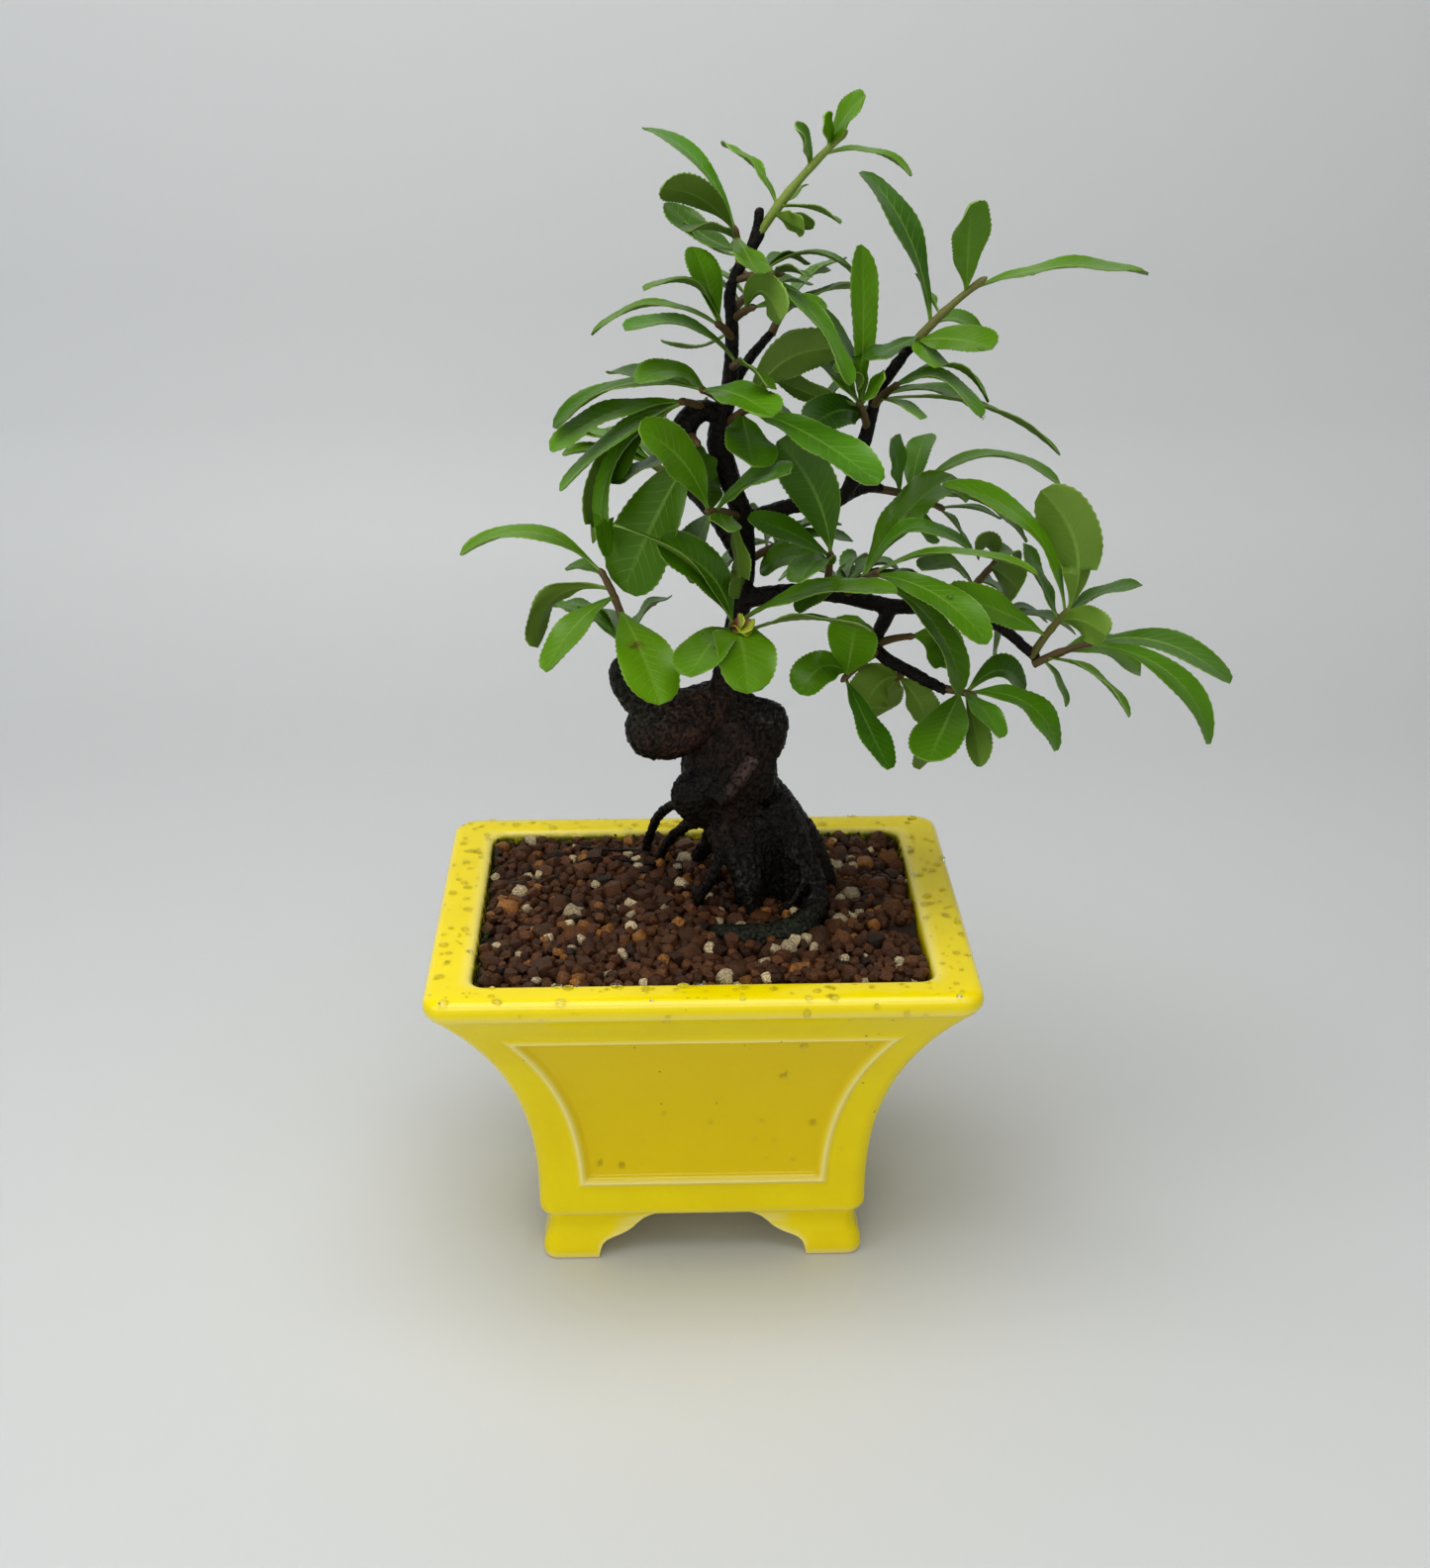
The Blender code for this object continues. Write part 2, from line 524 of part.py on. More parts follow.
def add_feet(pot, cutters):
    foot_rows = [(0.0, 43.2), (1.0, 43.8), (4.0, 43.6), (8.0, 42.2), (11.0, 41.9), (FOOT_HEIGHT + 0.8, 42.2)]
    feet = add_object("feet", mesh_from("feet", loft(
        [ring(half, SIDE_LESS, 4.0, z) for z, half in foot_rows])), cutters)
    inside = add_object("between_feet", mesh_from("between_feet", loft(
        [ring(35.5, SIDE_LESS, 2.0, z) for z in (-1.0, FOOT_HEIGHT)])), cutters)
    boolean(feet, "DIFFERENCE", inside)
    # The bracket curve between two feet, from the middle of the span out and down
    long_side = [(13.0, FOOT_HEIGHT - 0.3), (17.0, 11.2), (20.5, 8.0), (25.0, 6.0), (28.0, 3.4), (28.5, -1.0)]
    short_side = [(place - 11.5, z) for place, z in long_side]
    for name, outline, along_x in (("long_arch", long_side, True), ("short_arch", short_side, False)):
        bm = bmesh.new()
        profile = [(-place, z) for place, z in reversed(outline)] + outline
        near = []
        for place, z in profile:
            spot = (place, -60.0, z) if along_x else (-60.0, -place, z)
            near.append(bm.verts.new(Vector(spot) * MM))
        face = bm.faces.new(near)
        pushed = bmesh.ops.extrude_face_region(bm, geom=[face])
        moved = [item for item in pushed["geom"] if isinstance(item, bmesh.types.BMVert)]
        through = Vector((0.0, 120.0, 0.0)) if along_x else Vector((120.0, 0.0, 0.0))
        bmesh.ops.translate(bm, verts=moved, vec=through * MM)
        bmesh.ops.recalc_face_normals(bm, faces=bm.faces)
        arch = add_object(name, mesh_from(name, bm), cutters)
        boolean(feet, "DIFFERENCE", arch)
    boolean(pot, "UNION", feet)


def add_drain_holes(pot, cutters):
    for side in (-1, 1):
        bm = bmesh.new()
        bmesh.ops.create_cone(bm, cap_ends=True, segments=16, radius1=DRAIN_HOLE_RADIUS * MM,
                              radius2=DRAIN_HOLE_RADIUS * MM, depth=16 * MM)
        bmesh.ops.translate(bm, verts=bm.verts, vec=Vector((side * DRAIN_HOLE_AT, 0, 17)) * MM)
        hole = add_object("drain_cut", mesh_from("drain_cut", bm), cutters)
        boolean(pot, "DIFFERENCE", hole)


def build_pot(group, cutters, finish):
    pot = add_object("pot", mesh_from("pot", loft(pot_rings())), group, finish)
    add_feet(pot, cutters)
    add_drain_holes(pot, cutters)
    return pot


def build_screens(group, cutters, finish):
    """Square plastic nets that lie on the floor and keep the soil out of the drain holes."""
    slot = SCREEN_SIDE / 7
    for name, side in (("drain_screen_left", -1), ("drain_screen_right", 1)):
        bm = bmesh.new()
        bmesh.ops.create_cube(bm, size=MM)
        bmesh.ops.scale(bm, verts=bm.verts, vec=(SCREEN_SIDE, SCREEN_SIDE, SCREEN_THICK))
        screen = add_object(name, mesh_from(name, bm), group, finish)
        holes = bmesh.new()
        for row in (-1, 0, 1):
            for column in (-1, 0, 1):
                made = bmesh.ops.create_cube(holes, size=slot * MM)
                spot = Vector((row * 2 * slot, column * 2 * slot, 0)) * MM
                bmesh.ops.translate(holes, verts=made["verts"], vec=spot)
        cut = add_object("screen_cut", mesh_from("screen_cut", holes), cutters)
        boolean(screen, "DIFFERENCE", cut)
        rest = FLOOR_TOP + GAP + SCREEN_THICK / 2
        screen.location = Vector((side * DRAIN_HOLE_AT, 0, rest)) * MM


# Soil
def soil_height(x, y):
    spread = ((x - MOUND_AT[0]) ** 2 + (y - MOUND_AT[1]) ** 2) / (2 * MOUND_SPREAD ** 2)
    return SOIL_LEVEL + SOIL_MOUND * exp(-spread)


def build_soil(group, cutters, finish, wood_room):
    bottom = FLOOR_TOP + GAP + SCREEN_THICK + GAP
    levels = [bottom, 42.0, 62.0, 80.0, 93.6]
    rings = [ring(cavity_half(z) - GAP, INNER_SIDE_LESS, 5.0, z) for z in levels]
    soil = add_object("soil", mesh_from("soil", loft(rings)), group, finish)
    draw = random.Random(SEED)
    cells_x, cells_y = GRAIN_CELLS
    bm = bmesh.new()
    bmesh.ops.create_grid(bm, x_segments=cells_x, y_segments=cells_y, size=0.5)
    bmesh.ops.scale(bm, verts=bm.verts, vec=(122 * MM, 96 * MM, 1))
    for vert in bm.verts:
        x = vert.co.x / MM
        y = vert.co.y / MM
        vert.co.z = (soil_height(x, y) + draw.uniform(-GRAIN_RISE, GRAIN_RISE)) * MM
    raised = bmesh.ops.extrude_face_region(bm, geom=list(bm.faces))
    for item in raised["geom"]:
        if isinstance(item, bmesh.types.BMVert):
            item.co.z = 105 * MM
    bmesh.ops.recalc_face_normals(bm, faces=bm.faces)
    above = add_object("above_soil", mesh_from("above_soil", bm), cutters)
    boolean(soil, "DIFFERENCE", above)
    boolean(soil, "DIFFERENCE", wood_room)
    keep_largest_body(soil)
    return soil


# Wood
def grow_wood():
    """All runs of wood grown into one skin, with the bark's furrows carved in."""
    bm = bmesh.new()
    for points in WOOD.values():
        bm.from_mesh(tube_mesh(points))
    wood = bpy.data.objects.new("trunk_and_roots", mesh_from("trunk_and_roots", bm))
    bpy.context.scene.collection.objects.link(wood)
    skin = wood.modifiers.new("skin", "REMESH")
    skin.mode = "VOXEL"
    skin.voxel_size = 0.7 * MM
    even = wood.modifiers.new("even", "SMOOTH")
    even.factor = 0.5
    even.iterations = 3
    apply_modifiers(wood)
    carved = []
    for vert in wood.data.vertices:
        place = vert.co / MM
        along = Vector((place.x * 0.28, place.y * 0.28, place.z * 0.11))
        furrow = noise.noise(along) + 0.5 * noise.noise(along * 2.3)
        depth = FURROW * min(1.0, max(0.0, furrow + 0.4))
        carved.append((place - vert.normal * depth) * MM)
    for vert, place in zip(wood.data.vertices, carved):
        vert.co = place
    return wood


def thin_out(thing, triangles):
    """Fewer triangles on the same shape, down to a count."""
    count = sum(len(face.vertices) - 2 for face in thing.data.polygons)
    fewer = thing.modifiers.new("fewer", "DECIMATE")
    fewer.ratio = triangles / count
    fewer.use_collapse_triangulate = True
    apply_modifiers(thing)


def build_wood(group, finish):
    wood = grow_wood()
    thin_out(wood, WOOD_TRIANGLES)
    bpy.context.scene.collection.objects.unlink(wood)
    group.objects.link(wood)
    wood.data.materials.clear()
    wood.data.materials.append(finish)
    keep_largest_body(wood)
    return wood


def room_round(wood, cutters, name, clearance, triangles):
    """The finished wood, swollen on all sides: what soil and twigs are cut back from."""
    room = add_object(name, wood.data.copy(), cutters)
    swollen = [vert.co + vert.normal * (clearance * MM) for vert in room.data.vertices]
    for vert, place in zip(room.data.vertices, swollen):
        vert.co = place
    skin = room.modifiers.new("skin", "REMESH")
    skin.mode = "VOXEL"
    skin.voxel_size = 0.6 * MM
    apply_modifiers(room)
    thin_out(room, triangles)
    return room


# Leaves
def heading(turn, toward):
    """The direction that a turn and a toward angle point in."""
    level = cos(radians(toward))
    return Vector((level * cos(radians(turn)), -sin(radians(toward)), level * sin(radians(turn))))


def across_up(direction):
    """The direction at a right angle to another that rises most."""
    return (UP - direction * UP.dot(direction)).normalized()


def arched(start, direction, length, arch):
    """The control points of a curve that leaves start, rises by arch in its middle and ends."""
    end = start + direction * length
    return start, (start + end) / 2 + across_up(direction) * (2 * arch * length), end


def on_curve(points, share):
    """The place and the heading at a share of a curve through three control points."""
    start, control, end = points
    first = start.lerp(control, share)
    second = control.lerp(end, share)
    return first.lerp(second, share), (second - first).normalized()


def blade_width(along):
    """Share of the full width along a leaf: a narrow stalk, widest past the middle, a blunt tip."""
    return max(0.0, sin(pi * along ** 1.35)) ** 0.8


def leaf_rows(twig, number, leaf, roll, stations):
    """The middle, left and right point at each station of a leaf, in millimetres.

    Leaves that leave a twig together start a little apart along it, as on the real shoot."""
    share, turn, toward, length, arch, width, lean = leaf
    place, _ = on_curve(twig, share)
    tip = place + heading(turn, toward) * length
    start, _ = on_curve(twig, max(0.3 * share, share - APART * (number % 5)))
    line = arched(start, (tip - start).normalized(), (tip - start).length, arch)
    rows = []
    for count, along in enumerate(stations):
        here, direction = on_curve(line, along)
        to_front = (FRONT - direction * FRONT.dot(direction)).normalized()
        to_sky = to_front.cross(direction)
        if to_sky.z < 0:
            to_sky.negate()
        face = to_front * cos(radians(lean + roll)) + to_sky * sin(radians(lean + roll))
        across = direction.cross(face)
        half = max(STALK_HALF, width / 2 * blade_width(along))
        wave = WAVE if count % 2 else 0.0
        lift = face * (FOLD * half + wave * min(1.0, half / 3))
        rows.append((here, here - across * half + lift, here + across * half + lift))
    return rows


def leaf_mesh(rows, thick):
    """A leaf as a thin solid: three points across, split alike on both faces, closed at the tip."""
    bm = bmesh.new()
    grid = []
    for middle, left, right in rows[:-1]:
        grid.append([bm.verts.new(point * MM) for point in (left, middle, right)])
    tip = bm.verts.new(rows[-1][0] * MM)
    for near, far in zip(grid, grid[1:]):
        for i in (0, 1):
            bm.faces.new((near[i], near[i + 1], far[i + 1]))
            bm.faces.new((near[i], far[i + 1], far[i]))
    for i in (0, 1):
        bm.faces.new((grid[-1][i], grid[-1][i + 1], tip))
    bm.normal_update()
    bmesh.ops.solidify(bm, geom=bm.faces[:], thickness=thick * MM)
    bmesh.ops.recalc_face_normals(bm, faces=bm.faces)
    return bm


def golden_leaves(twig, count, length):
    """Leaves set round a twig by the golden angle, spread to the back, the lower ones longer."""
    start, _, end = twig
    leaves = []
    for number in range(count):
        share = 0.45 + 0.55 * number / (count - 1)
        around = GOLDEN_ANGLE * number + start.x
        out = Vector((cos(around), sin(around), 0.0)) + (end - start).normalized() * (0.5 + 0.5 * share)
        out.y = abs(out.y) * 0.8 + 0.2
        out.z -= 0.12
        turn = degrees(atan2(out.z, out.x))
        toward = degrees(asin(-out.y / out.length))
        reach = length * (1.05 - 0.25 * share)
        leaves.append((share, turn, toward, reach, 0.12, 0.3 * reach, 68))
    return leaves


def shoot_plans():
    """Every shoot as (name, the twig's control points, leaves)."""
    plans = []
    for name, (start, turn, toward, length, leaves) in SHOOTS.items():
        twig = arched(Vector(start), heading(turn, toward), length, TWIG_ARCH)
        plans.append((name, twig, leaves))
    for name, (start, turn, toward, length, count, reach) in BACK_SHOOTS.items():
        twig = arched(Vector(start), heading(turn, toward), length, TWIG_ARCH)
        plans.append((name, twig, golden_leaves(twig, count, reach)))
    return plans


def twig_line(twig):
    """Points of (x, y, z, radius) along a twig, and past its end by the length of its bud."""
    middle, _ = on_curve(twig, 0.5)
    end, direction = on_curve(twig, 1.0)
    places = (twig[0], middle, end + direction * BUD)
    return [(*place, radius) for place, radius in zip(places, TWIG_RADII)]


def shoot_mesh(twig, leaves, roll, solver, wood_room):
    """A twig and its leaves grown into one solid, and cut clear of the wood that carries it."""
    shoot = bpy.data.objects.new("shoot", tube_mesh(twig_line(twig), 1, smooth=False))
    bpy.context.scene.collection.objects.link(shoot)
    blades = bpy.data.collections.new("blades")
    for number, leaf in enumerate(leaves):
        stations = LONG_STATIONS if leaf[3] > LONG_LEAF else SHORT_STATIONS
        rows = leaf_rows(twig, number, leaf, roll * (number % 3 - 1), stations)
        add_object("blade", mesh_from("blade", leaf_mesh(rows, BLADE_THICK)), blades)
    boolean(shoot, "UNION", group=blades, solver=solver)
    for blade in list(blades.objects):
        bpy.data.objects.remove(blade, do_unlink=True)
    bpy.data.collections.remove(blades)
    boolean(shoot, "DIFFERENCE", wood_room, solver=solver)
    keep_largest_body(shoot)
    mesh = shoot.data
    bpy.data.objects.remove(shoot, do_unlink=True)
    return mesh


def build_shoots(group, finish, wood_room):
    for name, twig, leaves in shoot_plans():
        # A union of blades that all but touch can come out open. Then it is made with the other
        # solver, and then with the leaves rolled by a little more each time.
        for roll, solver in product(range(ROLL_TRIES), ("EXACT", "MANIFOLD")):
            mesh = shoot_mesh(twig, leaves, roll, solver, wood_room)
            if is_sound(mesh):
                break
        add_object(name, mesh, group, finish)


def main():
    clear_scene()
    parts = new_collection("firethorn_bonsai")
    cutters = new_collection("cutters")
    glaze = make_material("yellow_glaze", GLAZE, 0.15)
    bark = make_material("dark_bark", BARK, 0.75)
    earth = make_material("soil_grains", SOIL_BROWN, 0.9)
    leaf = make_material("leaf_green", LEAF_GREEN, 0.4)
    net = make_material("black_net", SCREEN_BLACK, 0.6)

    build_pot(parts, cutters, glaze)
    build_screens(parts, cutters, net)
    wood = build_wood(parts, bark)
    soil_room = room_round(wood, cutters, "soil_room", SOIL_ROOM, SOIL_ROOM_TRIANGLES)
    twig_room = room_round(wood, cutters, "twig_room", TWIG_ROOM, TWIG_ROOM_TRIANGLES)
    build_soil(parts, cutters, earth, soil_room)
    build_shoots(parts, leaf, twig_room)

    for cutter in cutters.objects:
        cutter.hide_render = True
        cutter.display_type = "WIRE"
    middle = bpy.data.objects.new("bonsai", None)
    parts.objects.link(middle)
    for thing in parts.objects:
        if thing.type == "MESH":
            thing.parent = middle
    middle.location = (POT_FROM_MIDDLE[0] * MM, POT_FROM_MIDDLE[1] * MM, 0.0)


main()
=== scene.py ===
import random
from math import asin, atan2, cos, degrees, exp, pi, radians, sin, sqrt

import bmesh
import bpy
import numpy as np
from mathutils import Euler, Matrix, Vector, noise
from mathutils.bvhtree import BVHTree


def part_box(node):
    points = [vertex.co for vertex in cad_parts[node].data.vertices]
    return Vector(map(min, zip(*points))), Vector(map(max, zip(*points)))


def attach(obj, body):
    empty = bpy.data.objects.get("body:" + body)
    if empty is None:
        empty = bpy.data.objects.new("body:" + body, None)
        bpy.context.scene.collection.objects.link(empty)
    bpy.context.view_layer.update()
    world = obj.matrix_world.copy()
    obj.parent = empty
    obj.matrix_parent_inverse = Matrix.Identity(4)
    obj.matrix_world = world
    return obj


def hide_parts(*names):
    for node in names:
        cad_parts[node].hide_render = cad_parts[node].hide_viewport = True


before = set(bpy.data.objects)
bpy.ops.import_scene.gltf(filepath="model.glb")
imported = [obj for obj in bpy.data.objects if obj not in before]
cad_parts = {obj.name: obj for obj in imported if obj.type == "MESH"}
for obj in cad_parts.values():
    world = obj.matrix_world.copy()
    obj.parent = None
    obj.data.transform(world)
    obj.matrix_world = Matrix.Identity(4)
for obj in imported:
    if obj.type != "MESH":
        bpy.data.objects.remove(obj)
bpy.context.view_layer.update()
bpy.ops.object.select_all(action="DESELECT")

# Pot
# A rectangular stoneware pot that flares from an upright base to a broad flat rim. It is pressed in
# a mould with a sunk panel inside a raised bead on each side, stands on four bracket feet, and is
# dipped in lemon-yellow glaze, which runs thin and pale on every edge.
MM = 0.001
pot_low, pot_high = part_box("pot")
POT_MIDDLE = (pot_low + pot_high) / 2
RIM_HALF = (pot_high.x - pot_low.x) / 2 / MM
SIDE_LESS = RIM_HALF - (pot_high.y - pot_low.y) / 2 / MM    # the short half is less by this
POT_HEIGHT = pot_high.z / MM
FOOT_HEIGHT = 14.0
BASE_HALF = 44.4
UPRIGHT_TO = 19.0
FLARE = 25.0
FLARE_POWER = 2.3
LIP_FROM = 90.0
INNER_HALF = 58.0
INNER_SIDE_LESS = 13.0
WALL = 6.5
FLOOR_TOP = 20.0
BODY_CORNER = 4.5
LIP_CORNER = 6.5
INNER_CORNER = 5.0
CORNER_STEPS = 8
PANEL_FROM = 25.5
PANEL_TO = 78.5
PANEL_INSET = 12.2
BEAD_HALF = 1.8
BEAD_RISE = 0.9
PANEL_SINK = 1.1
SINK_WITHIN = 2.4
DRAIN_HOLE_RADIUS = 6.0
DRAIN_HOLE_AT = 19.0
FOOT_INSIDE = 35.5
LEMON = (0.84, 0.68, 0.0, 1.0)
OCHRE = (0.74, 0.55, 0.0, 1.0)
CREAM = (0.88, 0.78, 0.34, 1.0)
MOSS_STAIN = (0.060, 0.090, 0.004, 1.0)
BARE_CLAY = (0.72, 0.52, 0.38, 1.0)
SPECK = (0.22, 0.13, 0.02, 1.0)


def placed(x, y, z):
    """A place in the scene from millimetres off the middle of the pot's footprint."""
    return Vector((POT_MIDDLE.x + x * MM, POT_MIDDLE.y + y * MM, z * MM))


def new_piece(name, points, faces, finish, smooth_angle=35.0):
    """A mesh object from points in the scene's metres, smooth up to an angle."""
    mesh = bpy.data.meshes.new(name)
    mesh.from_pydata([tuple(point) for point in points], [], faces)
    mesh.validate()
    mesh.update()
    piece = bpy.data.objects.new(name, mesh)
    bpy.context.scene.collection.objects.link(piece)
    piece.data.materials.append(finish)
    mesh.shade_smooth()
    mesh.set_sharp_from_angle(angle=radians(smooth_angle))
    return piece


def apply_modifiers(piece):
    bpy.context.view_layer.objects.active = piece
    for modifier in list(piece.modifiers):
        bpy.ops.object.modifier_apply(modifier=modifier.name)


def boolean(piece, other, operation):
    cut = piece.modifiers.new("cut", "BOOLEAN")
    cut.operation = operation
    cut.solver = "EXACT"
    cut.object = other
    apply_modifiers(piece)
    bpy.data.objects.remove(other, do_unlink=True)


def new_material(name, roughness):
    material = bpy.data.materials.new(name)
    material.use_nodes = True
    tree = material.node_tree
    shader = tree.nodes["Principled BSDF"]
    shader.inputs["Roughness"].default_value = roughness
    return material, tree, shader


def add_node(tree, kind, **settings):
    node = tree.nodes.new(kind)
    for key, value in settings.items():
        if key in node.inputs:
            node.inputs[key].default_value = value
        else:
            setattr(node, key, value)
    return node


def attribute(tree, name):
    return add_node(tree, "ShaderNodeAttribute", attribute_name=name).outputs["Fac"]


def sums(tree, operation, first, second, limit=False):
    """One Math node over two inputs, each an output of a node or a number."""
    node = add_node(tree, "ShaderNodeMath", operation=operation, use_clamp=limit)
    for socket, given in zip(node.inputs, (first, second)):
        if isinstance(given, (int, float)):
            socket.default_value = given
        else:
            tree.links.new(given, socket)
    return node.outputs[0]


def span(tree, value, low, high):
    """Maps a value from low..high to 0..1, held at both ends."""
    node = add_node(tree, "ShaderNodeMapRange", interpolation_type="SMOOTHSTEP")
    node.inputs["From Min"].default_value = low
    node.inputs["From Max"].default_value = high
    tree.links.new(value, node.inputs["Value"])
    return node.outputs["Result"]


def mixed(tree, factor, first, second, blend="MIX"):
    """A colour between two, each an output of a node or a plain colour."""
    node = add_node(tree, "ShaderNodeMix", data_type="RGBA", blend_type=blend)
    for socket, given in ((node.inputs[0], factor), (node.inputs[6], first), (node.inputs[7], second)):
        if isinstance(given, (int, float, tuple)):
            socket.default_value = given
        else:
            tree.links.new(given, socket)
    return node.outputs[2]


# Uneven colour, as in any fired, grown or crumbled stuff: broad patches with finer ones over them.
mottle = bpy.data.node_groups.new("mottle", "ShaderNodeTree")
mottle.interface.new_socket("Scale", in_out="INPUT", socket_type="NodeSocketFloat")
mottle.interface.new_socket("Fine", in_out="OUTPUT", socket_type="NodeSocketFloat")
mottle.interface.new_socket("Broad", in_out="OUTPUT", socket_type="NodeSocketFloat")
mottle_in = mottle.nodes.new("NodeGroupInput")
mottle_out = mottle.nodes.new("NodeGroupOutput")
mottle_place = mottle.nodes.new("ShaderNodeTexCoord")
for socket_name, times, detail in (("Fine", 6.0, 6.0), ("Broad", 1.0, 3.0)):
    cloud = add_node(mottle, "ShaderNodeTexNoise", Detail=detail, Roughness=0.6)
    mottle.links.new(mottle_place.outputs["Object"], cloud.inputs["Vector"])
    mottle.links.new(sums(mottle, "MULTIPLY", mottle_in.outputs["Scale"], times), cloud.inputs["Scale"])
    mottle.links.new(cloud.outputs["Fac"], mottle_out.inputs[socket_name])


def mottled(tree, scale):
    """The group's fine and broad patches at a scale."""
    node = tree.nodes.new("ShaderNodeGroup")
    node.node_tree = mottle
    node.inputs["Scale"].default_value = scale
    return node.outputs["Fine"], node.outputs["Broad"]


def relief(tree, shader, height, strength, depth):
    """A bump on a shader from a height, its depth in millimetres."""
    bump = add_node(tree, "ShaderNodeBump", Strength=strength, Distance=depth * MM)
    tree.links.new(height, bump.inputs["Height"])
    tree.links.new(bump.outputs["Normal"], shader.inputs["Normal"])


glaze, tree, shader = new_material("lemon_glaze", 0.14)
shader.inputs["Specular IOR Level"].default_value = 0.3
fine, broad = mottled(tree, 60.0)
colour = mixed(tree, attribute(tree, "panel"), LEMON, OCHRE)
colour = mixed(tree, sums(tree, "MULTIPLY", span(tree, broad, 0.35, 0.75), 0.3), colour, OCHRE)
colour = mixed(tree, attribute(tree, "pale"), colour, CREAM)
colour = mixed(tree, attribute(tree, "bare"), colour, BARE_CLAY)
stain = sums(tree, "MULTIPLY", attribute(tree, "stain"), span(tree, fine, 0.30, 0.55))
colour = mixed(tree, stain, colour, MOSS_STAIN)
specks = add_node(tree, "ShaderNodeTexVoronoi", Scale=190.0)
tree.links.new(add_node(tree, "ShaderNodeTexCoord").outputs["Object"], specks.inputs["Vector"])
speck_here = sums(tree, "MULTIPLY", sums(tree, "LESS_THAN", specks.outputs["Distance"], 0.075),
                  sums(tree, "GREATER_THAN", specks.outputs["Color"], 0.66))
colour = mixed(tree, sums(tree, "MULTIPLY", speck_here, 0.6), colour, SPECK)
tree.links.new(colour, shader.inputs["Base Color"])
rough = sums(tree, "ADD", sums(tree, "MULTIPLY", fine, 0.12), 0.10)
rough = sums(tree, "ADD", rough, sums(tree, "MULTIPLY", attribute(tree, "bare"), 0.5), limit=True)
tree.links.new(rough, shader.inputs["Roughness"])
relief(tree, shader, broad, 0.25, 0.5)


def wall_half(z):
    """Half length of the pot's outside at a height."""
    if z <= UPRIGHT_TO:
        return BASE_HALF
    rise = (min(z, LIP_FROM) - UPRIGHT_TO) / (LIP_FROM - UPRIGHT_TO)
    return BASE_HALF + FLARE * rise ** FLARE_POWER


def smooth_step(value):
    value = min(1.0, max(0.0, value))
    return value * value * (3.0 - 2.0 * value)


def panel_push(inside):
    """How far the wall stands out at a distance inside the panel's outline."""
    push = 0.0
    if abs(inside) < BEAD_HALF:
        push = BEAD_RISE * 0.5 * (1.0 + cos(pi * inside / BEAD_HALF))
    return push - PANEL_SINK * smooth_step(inside / SINK_WITHIN)


def pot_ring(half, less, corner, z, panelled=False):
    """Points round the pot at a height: columns crowd where the bead runs beside each corner."""
    points = []
    insets = [PANEL_INSET + step * BEAD_HALF / 4 for step in range(-5, 8)] + [PANEL_INSET + 5.0]
    for along, out in (((1, 0), (0, -1)), ((0, 1), (1, 0)), ((-1, 0), (0, 1)), ((0, -1), (-1, 0))):
        reach = half if along[0] else half - less
        away = half - less if along[0] else half
        middle = reach - insets[-1]
        places = [(-(reach - inset), inset) for inset in insets]
        places += [(middle * share / 3, reach - abs(middle * share / 3)) for share in (-2, -1, 0, 1, 2)]
        places += [(reach - inset, inset) for inset in reversed(insets)]
        for place, inset in places:
            distance = away
            if panelled:
                distance += panel_push(min(inset - PANEL_INSET, z - PANEL_FROM, PANEL_TO - z))
            points.append(placed(along[0] * place + out[0] * distance,
                                 along[1] * place + out[1] * distance, z))
        for step in range(CORNER_STEPS + 1):
            angle = pi / 2 * step / CORNER_STEPS
            forward = reach - corner + corner * sin(angle)
            distance = away - corner + corner * cos(angle)
            points.append(placed(along[0] * forward + out[0] * distance,
                                 along[1] * forward + out[1] * distance, z))
    return points


def loft(name, rings, finish):
    """A closed piece through rings of points, capped at both ends."""
    count = len(rings[0])
    faces = []
    for row in range(len(rings) - 1):
        for i in range(count):
            j = (i + 1) % count
            faces.append((row * count + i, row * count + j, (row + 1) * count + j, (row + 1) * count + i))
    faces.append(tuple(reversed(range(count))))
    faces.append(tuple(range((len(rings) - 1) * count, len(rings) * count)))
    return new_piece(name, [point for ring in rings for point in ring], faces, finish)


bead_steps = [step * BEAD_HALF / 3 for step in range(-3, 6)]
wall_rows = [PANEL_FROM + step for step in bead_steps] + [PANEL_TO - step for step in bead_steps]
wall_rows += [UPRIGHT_TO, 21.0] + [31.0 + 3.5 * step for step in range(13)] + [81.5, 83.5, 85.5, 87.5, 88.7]
rings = [pot_ring(wall_half(z) - back, SIDE_LESS, BODY_CORNER, z)
         for z, back in ((FOOT_HEIGHT, 2.4), (14.2, 1.3), (14.8, 0.5), (15.6, 0.1), (17.0, 0.0))]
rings += [pot_ring(wall_half(z), SIDE_LESS, BODY_CORNER, z, panelled=True) for z in sorted(wall_rows)]
# The lip: how far each ring lies inside the rim's outer edge
for z, back in ((89.4, 0.75), (90.0, 0.3), (90.8, 0.05), (92.2, 0.0), (93.4, 0.15), (94.2, 0.6), (94.7, 1.3),
                (94.93, 2.2)):
    rings.append(pot_ring(RIM_HALF - back, SIDE_LESS, LIP_CORNER, z))
for z, half, blend in ((POT_HEIGHT, 65.0, 0.3), (POT_HEIGHT, 62.0, 0.6), (94.93, 60.4, 0.8), (94.7, 59.4, 0.9),
                       (94.1, 58.6, 1.0), (93.2, 58.15, 1.0), (92.0, INNER_HALF, 1.0)):
    less = SIDE_LESS + (INNER_SIDE_LESS - SIDE_LESS) * blend
    rings.append(pot_ring(half, less, LIP_CORNER + (INNER_CORNER - LIP_CORNER) * blend, z))
